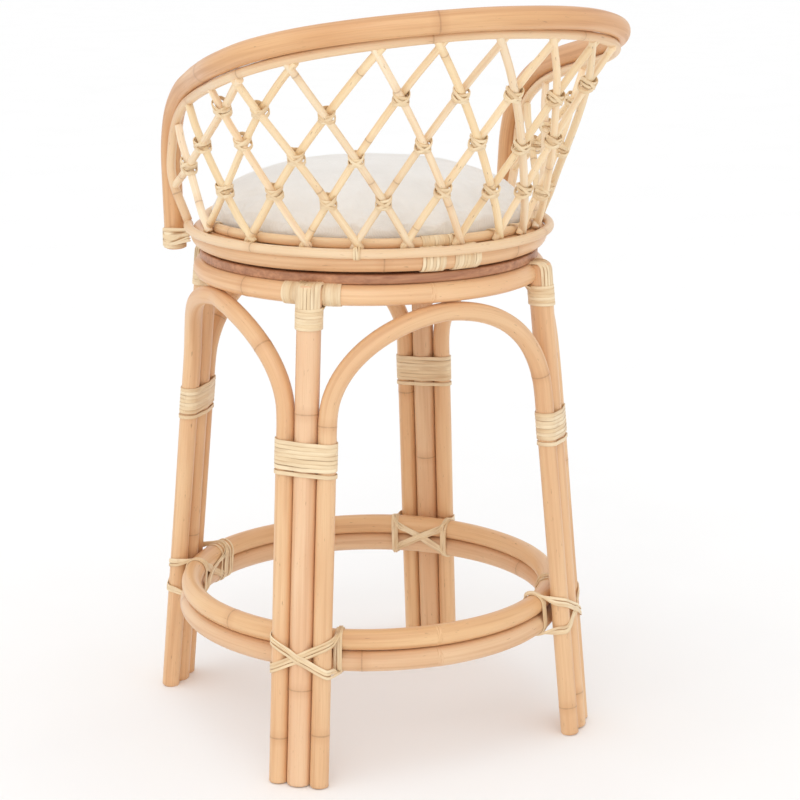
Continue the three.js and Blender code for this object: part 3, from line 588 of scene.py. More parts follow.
def plated_steel(name):
    """Zinc-plated sheet: slightly mottled, with fine rolling lines."""
    s = Shader(name, 0.34, Metallic=1.0)
    place = s.node("TexCoord").outputs["Object"]
    mottle = s.noise(place, (90, 90, 90), 4.0)
    lines = s.noise(place, (1500, 40, 300), 2.0)
    s.set("Base Color", s.mix(mottle, linear(150, 152, 156), linear(196, 198, 202)))
    s.set("Roughness", s.ramp(mottle, 0.3, 0.7, 0.28, 0.5))
    s.bump(lines, 0.12, 0.0003)
    return s.material


def cushion_cloth(name):
    """Off-white cotton: a plain weave of two crossing threads, with slubs and a soft sheen."""
    s = Shader(name, 0.88, Sheen_Weight=0.35, Sheen_Roughness=0.45)
    place = s.node("TexCoord").outputs["Object"]
    threads = []
    for axis in ("X", "Y"):
        values = {"Vector": place, "Scale": 330.0, "Distortion": 0.6, "Detail": 1.0}
        threads.append(s.node("TexWave", values, bands_direction=axis).outputs["Fac"])
    weave = s.math("MAXIMUM", *threads)
    slub = s.noise(place, (900, 70, 200), 3.0)
    broad = s.noise(place, (14, 14, 14), 3.0)
    colour = s.mix(s.ramp(broad, 0.3, 0.75), linear(246, 244, 240), linear(234, 231, 226))
    colour = s.mix(s.ramp(weave, 0.0, 0.8, 0.35, 0.0), colour, linear(206, 201, 194))
    colour = s.mix(s.ramp(slub, 0.55, 0.85, 0.0, 0.3), colour, linear(222, 216, 205))
    s.set("Base Color", colour)
    s.bump(weave, 0.35, 0.0006)
    s.bump(slub, 0.2, 0.0006)
    return s.material


POLE = rattan("pole_rattan", linear(237, 199, 156), linear(226, 179, 134), linear(197, 141, 95))
RAIL = rattan("rail_rattan", linear(232, 188, 143), linear(216, 162, 114), linear(184, 124, 78), 0.4, 1.3)
THIN = rattan("thin_rattan", linear(243, 214, 172), linear(235, 197, 150), linear(205, 153, 104), 0.46)
ROD_TONES = linear(250, 230, 196), linear(242, 214, 172), linear(210, 164, 116)
ROD = rattan("lattice_rattan", *ROD_TONES, roughness=0.5, flecks=0.8)
CANE = cane("cane_binding", linear(246, 226, 190), linear(234, 206, 164), linear(196, 154, 108))
WOOD = stained_wood("plywood")
STEEL = plated_steel("swivel_steel")
CLOTH = cushion_cloth("cushion_cloth")


# ---- base ----
def leg_bearing(i):
    return LEG_FIRST_DEG + 360 / LEG_COUNT * i


def leg_radius(z):
    return LEG_FOOT_RADIUS - LEG_LEAN * z


def leg_point(i, z, side=0.0, out=0.0):
    """Point on leg i: side runs along its row of poles, out is added to the radius."""
    return polar(leg_radius(z) + out, leg_bearing(i), z) + heading(leg_bearing(i) + 90) * side


def footrest_radius(z):
    return leg_radius(z) - LEG_POLE_R - FOOTREST_R - 0.2 * MM


def ring(name, radius, z, r, material, slot, body, wander=0.25 * MM):
    p = Piece(name)
    path = circle_arc(radius, z, 0, 360)[:-1]
    p.tube(path, r, 24, closed=True, wander=wander)
    return p.build(material, slot, body, (name,))


def leg_pole(i):
    name = f"leg_pole_{i + 1}"
    p = Piece(name)
    p.tube(np.array([leg_point(i, z) for z in np.linspace(0, LEG_TOP_Z, 12)]), LEG_POLE_R, 28)
    return p.build(POLE, "pole_rattan", "base", (name,))


def leg_arch(i):
    """An upside-down U between leg i and the next: its limbs are the outer poles of the two legs."""
    name = f"leg_arch_{i + 1}"
    start = math.degrees(math.atan2(SIDE_POLE_OFFSET, leg_radius(ARCH_SPRING_Z)))
    half = [leg_point(i, z, SIDE_POLE_OFFSET) for z in (0.0, 190 * MM, 400 * MM)]
    middle = leg_bearing(i) + 180 / LEG_COUNT
    for u in np.linspace(0, math.pi / 2, 10):
        w = 1 - math.cos(u)
        z = ARCH_SPRING_Z + (ARCH_APEX_Z - ARCH_SPRING_Z) * math.sin(u)
        limb = leg_point(i, z, SIDE_POLE_OFFSET)
        radius = math.hypot(limb[0], limb[1] - SWIVEL_Y) * (1 - w) + BASE_RING_RADIUS * w
        half.append(polar(radius, leg_bearing(i) + start + (180 / LEG_COUNT - start) * w, z))
    p = Piece(name)
    p.tube(spline(half + [mirrored(q, middle) for q in half[-2::-1]]), SIDE_POLE_R, 24)
    return p.build(POLE, "pole_rattan", "base", (name,))


def mirrored(p, deg):
    """The point's mirror image in the upright plane through the swivel axis at a bearing."""
    n = heading(deg + 90)
    return p - 2 * n * np.dot(p - np.array((0, SWIVEL_Y, 0)), n)


def leg_axes(i, tilt=0.0):
    """A frame along leg i: its s runs up the leg from a height; tilt is its rise to the side."""
    side, outward = heading(leg_bearing(i) + 90) + tilt * UP, heading(leg_bearing(i))

    def at(z):
        return lambda s: (leg_point(i, z + s), side, outward)

    return at


def ring_axes(radius, z, deg):
    """A frame along a level ring: its s runs round the ring from a bearing."""

    def at(s):
        d = deg + math.degrees(s / radius)
        return polar(radius, d, z), heading(d), UP

    return at


def mid_binding(i):
    name = f"leg_mid_binding_{i + 1}"
    p = Piece(name)
    circles = [(-SIDE_POLE_OFFSET, 0, SIDE_POLE_R), (0, 0, LEG_POLE_R), (SIDE_POLE_OFFSET, 0, SIDE_POLE_R)]
    outline = hull(circles, 0.3 * MM, 56)
    at = leg_axes(i, p.rng.uniform(0.02, 0.05))
    p.wound(outline, at(MID_BINDING_Z + 4.5 * MM), 33 * MM, 4.6 * MM, sway=0.5 * MM)
    p.wound(hull(circles, 0.6 * MM, 56), at(MID_BINDING_Z - 17.5 * MM), 4.6 * MM, 4.6 * MM, sway=1.8 * MM)
    return p.build(CANE, "cane_binding", "base", (name,))


SLEEVE_SIDES = {3: (-1,)}  # the fourth leg has its sleeve on one side only


def top_binding(i):
    """Cane over the joint of leg and base ring, wound each side along the ring, and a collar below."""
    name = f"leg_top_binding_{i + 1}"
    p = Piece(name)
    deg = leg_bearing(i)
    round_ring = hull([(0, 0, BASE_RING_R)], 0.35 * MM, 36)
    reach = (SLEEVE_DEG * math.pi / 180) * BASE_RING_RADIUS - SADDLE_HALF
    for s in SLEEVE_SIDES.get(i, (-1, 1)):
        mid = deg + s * math.degrees((SADDLE_HALF + reach / 2) / BASE_RING_RADIUS)
        p.wound(round_ring, ring_axes(BASE_RING_RADIUS, BASE_RING_Z, mid), reach, 3.9 * MM)
    collar = hull([(0, 0, LEG_POLE_R)], 0.9 * MM, 36)
    p.wound(collar, leg_axes(i)(COLLAR_Z), COLLAR_LENGTH, 3.6 * MM, 1.2 * MM)
    count = 9
    top = BASE_RING_Z + BASE_RING_R + 0.3 * MM
    grip = LEG_POLE_R + 0.5 * MM
    for k in range(count):
        a = ((k + 0.5) / count * 2 - 1) * math.radians(72)
        side, outer = grip * math.sin(a), grip * math.cos(a)
        low = COLLAR_Z + 8 * MM
        square = heading(deg + 90) * side
        lift = p.rng.uniform(0, 0.5) * MM
        pts = [
            leg_point(i, low, side, outer),
            leg_point(i, BASE_RING_Z, side, outer + lift),
            leg_point(i, top - 4.5 * MM, side, outer + lift - 0.5 * MM),
            leg_point(i, top + 0.4 * MM, side, max(outer - 4 * MM, -6 * MM)),
            polar(BASE_RING_RADIUS, deg, top) + square,
            polar(BASE_RING_RADIUS - 9 * MM, deg, BASE_RING_Z + 8.7 * MM) + square,
            polar(BASE_RING_RADIUS - 12.8 * MM, deg, BASE_RING_Z) + square,
            polar(BASE_RING_RADIUS - 9 * MM, deg, BASE_RING_Z - 9 * MM) + square,
            leg_point(i, low, side, -outer),
        ]
        path, _ = even(spline(pts), 2.5 * MM)
        core = np.array([leg_point(i, BASE_RING_Z, 0, -6 * MM)] * len(path))
        p.strip(path, path - core, 3.7 * MM, 1.0 * MM)
    return p.build(CANE, "cane_binding", "base", (name,))


EXTRA_LASH_DEG = {1: (6.6, 11.6, 13.2), 3: (-6.4,)}  # loose turns on the ring pair beside a leg


def lashing(i):
    """Cane that ties the two footrest rings to a leg, crossed outside the poles and inside the rings."""
    name = f"footrest_lashing_{i + 1}"
    p = Piece(name)
    deg = leg_bearing(i)
    zs = (FOOTREST_MID_Z + FOOTREST_R, FOOTREST_MID_Z - FOOTREST_R)
    radius = sum(footrest_radius(z) for z in zs) / 2
    slant = footrest_radius(zs[0]) - footrest_radius(zs[1])
    pair = [(slant / 2, FOOTREST_R, FOOTREST_R), (-slant / 2, -FOOTREST_R, FOOTREST_R)]
    for s in (-1, 1):
        at = ring_axes(radius, FOOTREST_MID_Z, deg + s * LASH_DEG)
        p.wound(hull(pair, 0.4 * MM, 56), at, 9 * MM, 3.3 * MM, 1.1 * MM, sway=1.4 * MM)
    for further in EXTRA_LASH_DEG.get(i, ()):
        at = ring_axes(radius, FOOTREST_MID_Z, deg + further)
        p.wound(hull(pair, 0.4 * MM, 56), at, 4 * MM, 3.0 * MM, 1.0 * MM, sway=2.2 * MM)
    edge = SIDE_POLE_OFFSET + SIDE_POLE_R
    strands = 3
    for s in (-1, 1):
        for k in range(strands):
            shift = (k - (strands - 1) / 2) * 3.3 * MM
            over = 1.2 * MM if s > 0 else 0.3 * MM
            outer_bends = [
                (edge + 1.2 * MM, -2 * MM),
                (edge - 2 * MM, SIDE_POLE_R - 3 * MM + over),
                (SIDE_POLE_OFFSET, SIDE_POLE_R + over),
                (LEG_POLE_R * 0.7, LEG_POLE_R * 0.86 + over),
                (0, LEG_POLE_R + over + 0.3 * MM),
            ]
            wild = p.rng.uniform(-1, 1) * MM

            def on_leg(along, out):
                z = FOOTREST_MID_Z + s * along * LASH_RISE / edge + shift + wild
                return leg_point(i, z, along, out)

            def on_ring(u, below, depth):
                """Point on the ring pair, u of LASH_DEG from the leg, with its height and outward depth."""
                z = FOOTREST_MID_Z + s * u * below
                return polar(footrest_radius(z) + depth + wild * 0.5, deg + u * LASH_DEG + shift * 120, z)

            left = [on_leg(-a, o) for a, o in outer_bends]
            right = [on_leg(a, o) for a, o in outer_bends[:-1]][::-1]
            rise, reach = 2 * FOOTREST_R + over, FOOTREST_R + over + 0.4 * MM
            over_edge = [(0.93 * rise, 0.62 * reach), (1.02 * rise, 0.0), (0.93 * rise, -0.62 * reach)]
            far = [on_ring(1, z, d) for z, d in over_edge]
            near = [on_ring(-1, z, -d) for z, d in over_edge]
            inner = []
            for u in (0.85, 0.5, 0.0, -0.5, -0.85):
                z = FOOTREST_MID_Z + s * u * LASH_RISE + shift
                bulge = math.sqrt(max(0.0, 1 - ((abs(z - FOOTREST_MID_Z) - FOOTREST_R) / FOOTREST_R) ** 2))
                depth = FOOTREST_R * max(0.8, bulge) + over + 0.4 * MM
                inner.append(polar(footrest_radius(z) - depth, deg + u * LASH_DEG, z))
            path, _ = even(closed_spline([*left, *right, *far, *inner, *near]), 3 * MM)
            middle = [leg_point(i, q[2], 0, -12 * MM) for q in path]
            p.strip(path, path - np.array(middle), 3.3 * MM, 1.0 * MM, closed=True)
    return p.build(CANE, "cane_binding", "base", (name,))


def turned(name, profile, segments, material, slot, body, nodes):
    """A round piece from its (radius, z) profile; ends on the axis are closed to a point."""
    bm = bmesh.new()
    loops = []
    for r, z in profile:
        if r < 1e-6:
            loops.append([bm.verts.new((0, SWIVEL_Y, z))] * segments)
        else:
            angles = np.linspace(0, 2 * math.pi, segments, endpoint=False)
            loops.append([bm.verts.new((r * math.cos(a), SWIVEL_Y + r * math.sin(a), z)) for a in angles])
    closed = profile[0] == profile[-1]
    if closed:
        for v in loops.pop():
            bm.verts.remove(v)
        loops.append(loops[0])
    for low, high in zip(loops, loops[1:]):
        for k in range(segments):
            m = (k + 1) % segments
            corners = []
            for v in (low[k], low[m], high[m], high[k]):
                if v not in corners:
                    corners.append(v)
            bm.faces.new(corners)
    bmesh.ops.recalc_face_normals(bm, faces=bm.faces)
    mesh = bpy.data.meshes.new(name)
    bm.to_mesh(mesh)
    bm.free()
    mesh.shade_smooth()
    mesh.set_sharp_from_angle(angle=math.radians(40))
    return settle(bpy.data.objects.new(name, mesh), material, slot, body, nodes)


def board(name, radius, body):
    """A round board with softened edges, where its CAD node is."""
    low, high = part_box(name)
    soft = 1.5 * MM
    profile = [
        (0.0, low.z),
        (radius - soft, low.z),
        (radius - 0.4 * soft, low.z + 0.3 * soft),
        (radius, low.z + soft),
        (radius, high.z - soft),
        (radius - 0.4 * soft, high.z - 0.3 * soft),
        (radius - soft, high.z),
        (0.0, high.z),
    ]
    return turned(name, profile, 128, WOOD, "plywood", body, (name,))


# ---- seat ----
def rail_points():
    half = [np.array(p) * MM for p in RAIL_HALF]
    other = [p * (-1, 1, 1) for p in half[:0:-1]]
    pts = []
    for p in other + half:
        h = min(1, max(0, (p[2] - RAIL_TILT_FROM_Z) / RAIL_TILT_FULL))
        pts.append(np.array((p[0], p[1], p[2] - RAIL_TILT * p[0] * h)))
    return [p + (0, SWIVEL_Y, 0) for p in pts]


RAIL_LINE, _ = even(spline(rail_points(), 24), 4 * MM)


def bearing(p):
    return math.degrees(math.atan2(p[0], p[1] - SWIVEL_Y))


def thin_aim(deg):
    """Radius the thin pole leans towards: inwards at the back, lower at the sides, behind the arm posts."""
    side_from, side_to, arm_from = THIN_AIM_DEGS
    out = min(1, abs(deg) / side_from)
    down = min(1, max(0, (abs(deg) - side_to) / (arm_from - side_to)))
    return THIN_AIM_BACK + (THIN_AIM_SIDE - THIN_AIM_BACK) * out + (THIN_AIM_ARM - THIN_AIM_SIDE) * down


def thin_pole_line():
    """The thin pole follows the lattice side of the rail, and ends on the outer rim."""
    t = tangents(RAIL_LINE, False)
    pts = []
    for k in range(THIN_POLE_SPANS + 1):
        u = THIN_POLE_START + (1 - 2 * THIN_POLE_START) * k / THIN_POLE_SPANS
        i = round(u * (len(RAIL_LINE) - 1))
        p = RAIL_LINE[i]
        aim = polar(thin_aim(bearing(p)), bearing(p) * THIN_AIM_SHARE, THIN_AIM_Z) - p
        aim = unit(aim - t[i] * np.dot(aim, t[i]))
        pts.append(p + aim * THIN_POLE_GAP)
    radius, deg, z = THIN_POLE_END
    return even(spline([polar(radius, -deg, z), *pts, polar(radius, deg, z)]), 4 * MM)[0]


THIN_LINE = thin_pole_line()
THIN_BEARING = np.degrees(np.arctan2(THIN_LINE[:, 0], THIN_LINE[:, 1] - SWIVEL_Y))


def rail_at(deg):
    """The thin pole at a bearing, on its upper, swept part."""
    return THIN_LINE[np.argmin(np.abs(THIN_BEARING - deg) - THIN_LINE[:, 2] * HIGHER_IS_NEARER)]


def lattice_point(deg, z):
    """Point of the flared lattice surface at a bearing and height."""
    top = rail_at(min(LATTICE_END_DEG, max(-LATTICE_END_DEG, deg)))
    top_radius = math.hypot(top[0], top[1] - SWIVEL_Y)
    low, high = LATTICE_RISE
    rise = min(high, max(low, (z - ROD_BOTTOM_Z) / (top[2] - ROD_BOTTOM_Z)))
    return polar(ROD_BOTTOM_RADIUS + (top_radius - ROD_BOTTOM_RADIUS) * rise, deg, z)


def rod_line(side, foot, deg):
    z = rail_at(deg)[2]
    if abs(deg) > ARM_FROM_DEG:
        return side, foot, (deg - math.copysign(ARM_HEAD_DEG, deg), z - ARM_HEAD_DROP)
    return side, foot, (deg, z - THIN_POLE_R - ROD_HEAD_GAP)


def rod_lines():
    """Every rod as (side, foot, head), an end being (bearing, height) and, on the thin pole, its radius."""
    lines = []
    for k, deg in enumerate(ROD_FOOT_DEG):
        lines.append(rod_line(1, (deg - FOOT_CROSS_DEG, ROD_BOTTOM_Z), ROD_HEAD_DEG[k + ROD_SHEAR]))
        lines.append(rod_line(-1, (deg + FOOT_CROSS_DEG, ROD_BOTTOM_Z), ROD_HEAD_DEG[k]))
    arm_deg, *arm = ARM_ROD_FOOT
    lines.append(rod_line(1, (-arm_deg, *arm), ROD_HEAD_DEG[ROD_SHEAR - 1]))
    lines.append(rod_line(-1, (arm_deg, *arm), ROD_HEAD_DEG[len(ROD_FOOT_DEG)]))
    return lines


def rod_middle(line, samples):
    """Middle line of a rod: nearly straight, bowed a little towards the flared surface."""
    _, foot, head = line
    end = lattice_point(*head)
    if len(foot) > 2:
        start = polar(foot[2], foot[0], foot[1])
        return np.array([start + (end - start) * t for t in samples])
    start = lattice_point(*foot)
    pts = []
    for t in samples:
        flared = lattice_point(foot[0] + (head[0] - foot[0]) * t, foot[1] + (head[1] - foot[1]) * t)
        straight = start + (end - start) * t
        pts.append(straight + (flared - straight) * ROD_BOW)
    return np.array(pts)


def rod_path(line):
    """A rod from the rim up to the thin pole, each family on its own side of the lattice surface."""
    side, _, head = line
    start, arm_end, end = ROD_REACH
    arm = abs(head[0]) > ARM_FROM_DEG - 3
    t = np.linspace(start, arm_end if arm else end, 14)
    pts = rod_middle(line, t)
    ease = np.minimum(1, ROD_EASE * np.maximum(0, np.minimum(t, 1 - t)))
    outward = (pts - (0, SWIVEL_Y, 0)) * (1, 1, 0)
    outward /= np.linalg.norm(outward, axis=1)[:, None]
    return spline(pts + outward * (side * ROD_LAYER * ease)[:, None], 5)


KNOT_SHARES = np.linspace(0.07, 0.94, 120)


def crossing(a, b):
    """Middle of two rods' crossing and their directions there, or None; a and b are middle lines."""
    gap = np.linalg.norm(a[:, None] - b[None], axis=2)
    i, j = np.unravel_index(np.argmin(gap), gap.shape)
    if gap[i, j] > KNOT_REACH:
        return None
    along = [unit(line[min(k + 3, len(line) - 1)] - line[max(k - 3, 0)]) for line, k in ((a, i), (b, j))]
    return (a[i] + b[j]) / 2, *along


def knot(p, here, along_a, along_b):
    """Cane wound round two crossed rods: turns round the waist, and turns that cross over them."""
    up = unit(along_a + along_b)
    normal = unit(np.cross(along_a, along_b))
    if np.dot(normal, heading(bearing(here))) < 0:
        normal = -normal
    across = np.cross(normal, up)
    half = math.acos(min(1, max(-1, np.dot(along_a, along_b)))) / 2
    depth = ROD_R + ROD_LAYER + 0.5 * MM
    angles = np.linspace(0, 2 * math.pi, 22, endpoint=False)
    size = p.rng.uniform(0.92, 1.12)
    width = 3.5 * MM * size

    def loop(offset, tilt, wide, lean, thick):
        """One turn round the crossing at a height above its middle."""
        path, out = [], []
        for angle in angles:
            c, s = math.cos(angle), math.sin(angle)
            x = wide * math.copysign(abs(c) ** 0.75, c)
            y = (depth + thick) * math.copysign(abs(s) ** 0.75, s)
            h = offset + tilt * c + lean * s
            path.append(here + across * x + normal * y + up * h)
            out.append(across * c + normal * s)
        p.strip(path, out, width, 1.1 * MM, closed=True)

    waist = ROD_R / math.cos(half) + 0.6 * MM
    for offset in (-1.2, 0.0, 1.2):
        h = offset * width + p.rng.uniform(-0.5, 0.5) * MM
        tilt = p.rng.uniform(-2.4, 2.4) * MM
        loop(h, tilt, waist + abs(h) * math.tan(half), p.rng.uniform(-1, 1) * MM, 0.0)
    for lean in (-1, 1):
        loop(
            p.rng.uniform(-0.8, 0.8) * MM,
            lean * p.rng.uniform(5.0, 7.0) * MM * size,
            waist + 2.6 * MM * size,
            p.rng.uniform(-0.8, 0.8) * MM,
            1.1 * MM,
        )


def lattice():
    p = Piece("back_lattice")
    knots = Piece("lattice_knots")
    lines = rod_lines()
    for line in lines:
        r = ROD_R * p.rng.uniform(0.93, 1.04)
        p.tube(rod_path(line), r, 14, joint_gap=(0.12, 0.3), step=5 * MM, wander=0.4 * MM)
    families = [[rod_middle(x, KNOT_SHARES) for x in lines if x[0] == side] for side in (1, -1)]
    for a in families[0]:
        for b in families[1]:
            found = crossing(a, b)
            if found:
                knot(knots, *found)
    p.build(ROD, "lattice_rattan", "seat", ("back_lattice",))
    knots.build(CANE, "cane_binding", "seat")


def rim_ties():
    """Thin cane that ties the rod feet to the two rims, and the wound stretch of the inner rim."""
    p = Piece("rim_ties")
    for k, deg in enumerate(ROD_FOOT_DEG):
        rim, z, r, rod = INNER_RIM_RADIUS, INNER_RIM_Z, INNER_RIM_R, TIE_REACH
        if k in TIED_OUTSIDE:
            rim, z, r, rod = OUTER_RIM_RADIUS, OUTER_RIM_Z, OUTER_RIM_R, -TIE_REACH
        outline = hull([(0, 0, r), (rod, 2 * MM, ROD_R)], 0.5 * MM, 30)
        for place in (-1, 0, 1):
            d = deg + place * TIE_PITCH_DEG + p.rng.uniform(-0.25, 0.25)
            p.wound(outline, ring_axes(rim, z, d), 2.4 * MM, 2.4 * MM, 0.9 * MM, sway=1.6 * MM)
    deg0, deg1 = INNER_WRAP_DEG
    at = ring_axes(INNER_RIM_RADIUS, INNER_RIM_Z, (deg0 + deg1) / 2)
    length = math.radians(abs(deg1 - deg0)) * INNER_RIM_RADIUS
    p.wound(hull([(0, 0, INNER_RIM_R)], 0.3 * MM, 24), at, length, 3.0 * MM, 0.9 * MM, sway=0.8 * MM)
    return p.build(CANE, "cane_binding", "seat")


def seat_wrap(number, deg0, deg1):
    name = f"seat_ring_wrap_{number}"
    p = Piece(name)
    length = math.radians(abs(deg1 - deg0)) * SEAT_RING_RADIUS
    at = ring_axes(SEAT_RING_RADIUS, SEAT_RING_Z, (deg0 + deg1) / 2)
    p.wound(hull([(0, 0, SEAT_RING_R)], 0.35 * MM, 36), at, length, 3.7 * MM)
    return p.build(CANE, "cane_binding", "seat", (name,))


def post_binding(label, side):
    """Cane round the foot of an arm post, and strands that cross from it to the seat ring."""
    name = f"post_binding_{label}"
    p = Piece(name)
    foot = RAIL_LINE[-1] if side > 0 else RAIL_LINE[0]
    mid = (POST_WRAP[0] + POST_WRAP[1]) / 2
    x_axis, y_axis = np.array((1.0, 0, 0)), np.array((0, 1.0, 0))

    def at(s):
        return np.array((foot[0] + side * 0.2 * MM, foot[1], mid + s)), x_axis, y_axis

    p.wound(hull([(0, 0, RAIL_R)], 0.4 * MM, 36), at, POST_WRAP[1] - POST_WRAP[0], 4.4 * MM, sway=0.9 * MM)
    deg = bearing(foot)
    grip = RAIL_R + 1.6 * MM
    for k in range(5):
        z = mid + (k - 2) * 4.4 * MM
        slant = p.rng.uniform(2, 6) * MM * (1 if k % 2 else -1)
        start = deg - side * 11
        radius = SEAT_RING_RADIUS + SEAT_RING_R
        spots = [polar(radius + (1.4 + 0.3 * k) * MM, start, SEAT_RING_Z + (k - 2) * 3 * MM)]
        outward, along = heading(deg), heading(deg + 90 * side)
        for turn_deg in (-75, -35, 0, 35, 75):
            a = math.radians(turn_deg)
            wave = slant * math.sin(a)
            bend = outward * grip * math.cos(a) + along * grip * math.sin(a)
            spots.append(at(0)[0] + bend + UP * (z - mid + wave))
        path, _ = even(spline(spots), 2.5 * MM)
        core = np.array([at(0)[0] * (1, 1, 0) + (0, 0, q[2]) for q in path])
        p.strip(path, path - core, 4.2 * MM, 1.0 * MM)
    return p.build(CANE, "cane_binding", "seat", (name,))


def pole_piece(name, line, r, material, slot, joint_gap=(0.3, 0.5), sides=26, wander=0.0):
    p = Piece(name)
    p.tube(line, r, sides, joint_gap=joint_gap, wander=wander)
    return p.build(material, slot, "seat", (name,))


# ---- cushion ----
CUSHION_PROFILE = (
    *((0.0, 617.0), (120.0, 617.0), (178.0, 617.0), (186.0, 621.0), (188.0, 628.0)),
    *((187.5, 634.0), (193.0, 640.0), (194.0, 650.0), (190.0, 663.0), (178.0, 675.0)),
    *((155.0, 683.5), (125.0, 688.5), (90.0, 691.5), (45.0, 693.5), (0.0, 694.0)),
)
PAD_HELD_Z = 634 * MM
PAD_RIM_Z, PAD_RIM_RADIUS = 635 * MM, 189 * MM
PAD_EDGE_Z = 640 * MM
PAD_OVER = 1.5 * MM
PAD_MOVE = 24 * MM
PAD_FRAMES = 20


def cushion():
    """A round stuffed pad, swollen by cloth simulation."""
    profile = [(r * MM, z * MM) for r, z in CUSHION_PROFILE]
    o = turned("seat_cushion", profile, 96, CLOTH, "cushion_cloth", "seat", ("seat_cushion",))
    remesh = o.modifiers.new("remesh", "REMESH")
    remesh.mode = "VOXEL"
    remesh.voxel_size = 5 * MM
    apply_modifiers(o)
    rest = coordinates(o)
    swell(o, rest)
    finer = o.modifiers.new("finer", "SUBSURF")
    finer.levels = finer.render_levels = 1
    apply_modifiers(o)
    o.data.shade_smooth()
    return o


def coordinates(o):
    co = np.zeros(len(o.data.vertices) * 3)
    o.data.vertices.foreach_get("co", co)
    return co.reshape(-1, 3)


def apply_modifiers(o):
    depsgraph = bpy.context.evaluated_depsgraph_get()
    mesh = bpy.data.meshes.new_from_object(o.evaluated_get(depsgraph))
    old = o.data
    o.modifiers.clear()
    o.data = mesh
    bpy.data.meshes.remove(old)
    mesh.name = o.name


def swell(o, rest):
    """Cloth with pressure inside: points under PAD_HELD_Z stay, and none moves further than PAD_MOVE."""
    held = o.vertex_groups.new(name="held")
    held.add([i for i, p in enumerate(rest) if p[2] < PAD_HELD_Z], 1.0, "REPLACE")
    cloth = o.modifiers.new("cloth", "CLOTH")
    cloth.settings.quality = 6
    cloth.settings.mass = 0.3
    cloth.settings.tension_stiffness = 12
    cloth.settings.bending_stiffness = 0.6
    cloth.settings.use_pressure = True
    cloth.settings.uniform_pressure_force = 4
    cloth.settings.effector_weights.gravity = 0
    cloth.settings.vertex_group_mass = "held"
    scene = bpy.context.scene
    for f in range(1, PAD_FRAMES + 1):
        scene.frame_set(f)
    apply_modifiers(o)
    scene.frame_set(1)
    now = coordinates(o)
    move = now - rest
    size = np.linalg.norm(move, axis=1)[:, None]
    now = fitted(rest + move * np.minimum(1, PAD_MOVE / np.maximum(size, 1e-9)))
    o.data.vertices.foreach_set("co", now.ravel())
    o.data.update()


def fitted(co):
    """Keeps the swollen pad in its CAD solid's room: inside the rim below, not above the crown."""
    low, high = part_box("seat_cushion")
    out = co - (0, SWIVEL_Y, 0)
    radius = np.hypot(out[:, 0], out[:, 1])
    widest = (high.x - low.x) / 2
    limit = np.where(co[:, 2] < PAD_RIM_Z, PAD_RIM_RADIUS, widest)
    pull = np.minimum(1, limit / np.maximum(radius, 1e-9))
    co = co.copy()
    co[:, 0] = out[:, 0] * pull
    co[:, 1] = out[:, 1] * pull + SWIVEL_Y
    top = co[:, 2].max()
    crown = high.z + PAD_OVER
    if top > crown:
        above = co[:, 2] > PAD_EDGE_Z
        share = (crown - PAD_EDGE_Z) / (top - PAD_EDGE_Z)
        co[above, 2] = PAD_EDGE_Z + (co[above, 2] - PAD_EDGE_Z) * share
    co[:, 2] = np.maximum(co[:, 2], low.z)
    return co


# ---- camera, light and floor ----
CAMERA_PLACE = (0.8329, 2.3323, 1.0308)
CAMERA_HEADING = (-0.3432, -0.9394)
CAMERA_DIP = math.radians(14.04)
CAMERA_LENS = 94.61


def camera():
    data = bpy.data.cameras.new("camera")
    data.lens, data.sensor_width = CAMERA_LENS, 36.0
    o = bpy.data.objects.new("camera", data)
    bpy.context.scene.collection.objects.link(o)
    o.location = CAMERA_PLACE
    x, y = CAMERA_HEADING
    aim = Vector((x * math.cos(CAMERA_DIP), y * math.cos(CAMERA_DIP), -math.sin(CAMERA_DIP)))
    o.rotation_euler = aim.to_track_quat("-Z", "Y").to_euler()
    bpy.context.scene.camera = o


def area_light(name, place, power, size, target=(0, 0, 0.5)):
    data = bpy.data.lights.new(name, "AREA")
    data.energy, data.size = power, size
    o = bpy.data.objects.new(name, data)
    bpy.context.scene.collection.objects.link(o)
    o.location = place
    o.rotation_euler = (Vector(target) - Vector(place)).to_track_quat("-Z", "Y").to_euler()


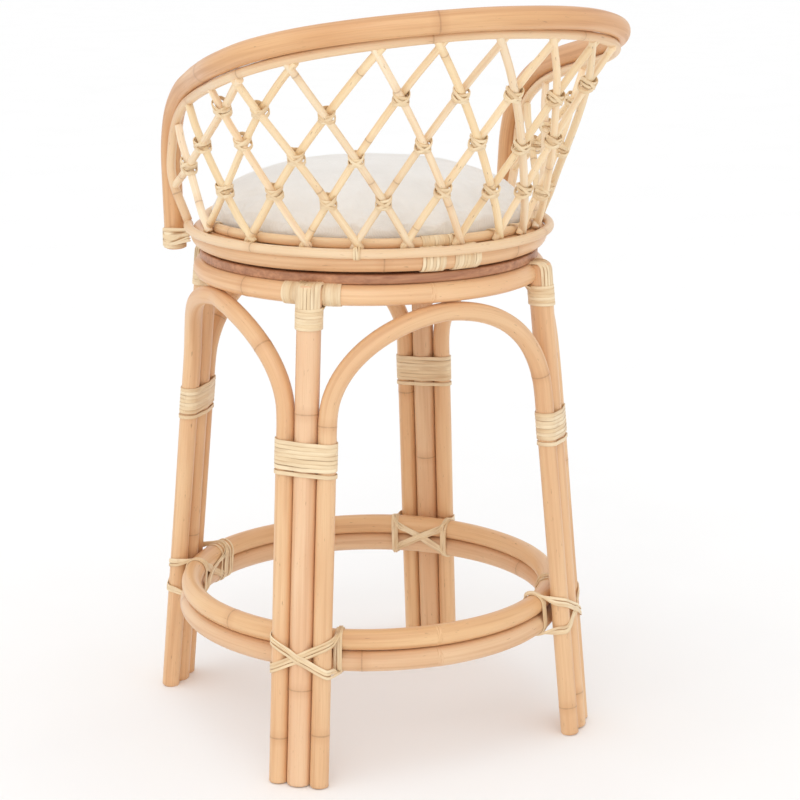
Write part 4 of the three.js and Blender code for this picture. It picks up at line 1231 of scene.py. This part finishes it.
def studio():
    world = bpy.data.worlds.new("studio")
    bpy.context.scene.world = world
    world.use_nodes = True
    background = world.node_tree.nodes["Background"]
    background.inputs["Color"].default_value = (1.0, 1.0, 1.0, 1.0)
    background.inputs["Strength"].default_value = 0.95
    sun = bpy.data.lights.new("sky_panel", "SUN")
    sun.energy, sun.angle = 0.35, math.radians(60)
    o = bpy.data.objects.new("sky_panel", sun)
    bpy.context.scene.collection.objects.link(o)
    o.rotation_euler = Vector((-0.45, -0.35, -1.0)).to_track_quat("-Z", "Y").to_euler()
    area_light("key", (1.4, 2.6, 2.4), 9, 1.2)
    area_light("fill", (0.7, 2.9, 0.35), 4, 1.6, (0, 0, 0.35))
    bpy.context.scene.view_settings.view_transform = "Standard"
    bm = bmesh.new()
    bmesh.ops.create_circle(bm, cap_ends=True, segments=96, radius=60.0)
    mesh = bpy.data.meshes.new("floor")
    bm.to_mesh(mesh)
    bm.free()
    floor = bpy.data.objects.new("floor", mesh)
    bpy.context.scene.collection.objects.link(floor)
    floor.location = (0, 0, -0.2 * MM)
    s = Shader("floor_paint", 0.9)
    place = s.node("TexCoord").outputs["Object"]
    s.set("Base Color", s.mix(s.noise(place, (4, 4, 4), 2.0), linear(252, 252, 252), linear(248, 248, 248)))
    mesh.materials.append(s.material)


# ---- assembly ----
camera()
studio()
ring("base_ring", BASE_RING_RADIUS, BASE_RING_Z, BASE_RING_R, POLE, "pole_rattan", "base")
for i in range(LEG_COUNT):
    leg_pole(i)
    leg_arch(i)
    top_binding(i)
    mid_binding(i)
    lashing(i)
for which, z in (("upper", FOOTREST_MID_Z + FOOTREST_R), ("lower", FOOTREST_MID_Z - FOOTREST_R)):
    ring(f"footrest_ring_{which}", footrest_radius(z), z, FOOTREST_R, POLE, "pole_rattan", "base")
board("base_board", BASE_BOARD_RADIUS, "base")
board("seat_board", SEAT_BOARD_RADIUS, "seat")
ring("seat_ring", SEAT_RING_RADIUS, SEAT_RING_Z, SEAT_RING_R, POLE, "pole_rattan", "seat")
ring("seat_inner_rim", INNER_RIM_RADIUS, INNER_RIM_Z, INNER_RIM_R, THIN, "thin_rattan", "seat")
rim_line = circle_arc(OUTER_RIM_RADIUS, OUTER_RIM_Z, -OUTER_RIM_END_DEG, OUTER_RIM_END_DEG)
pole_piece("seat_outer_rim", rim_line, OUTER_RIM_R, THIN, "thin_rattan", sides=18)
for number, (deg0, deg1) in enumerate(SEAT_WRAP_DEGS, 1):
    seat_wrap(number, deg0, deg1)
pole_piece("top_rail", RAIL_LINE, RAIL_R, RAIL, "rail_rattan")
pole_piece("rail_thin_pole", THIN_LINE, THIN_POLE_R, THIN, "thin_rattan", (0.15, 0.3), 18, 0.2 * MM)
lattice()
rim_ties()
post_binding("right", 1)
post_binding("left", -1)
cushion()
for name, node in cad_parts.items():
    if not node.hide_render:
        node.data.materials.clear()
        node.data.materials.append(STEEL)
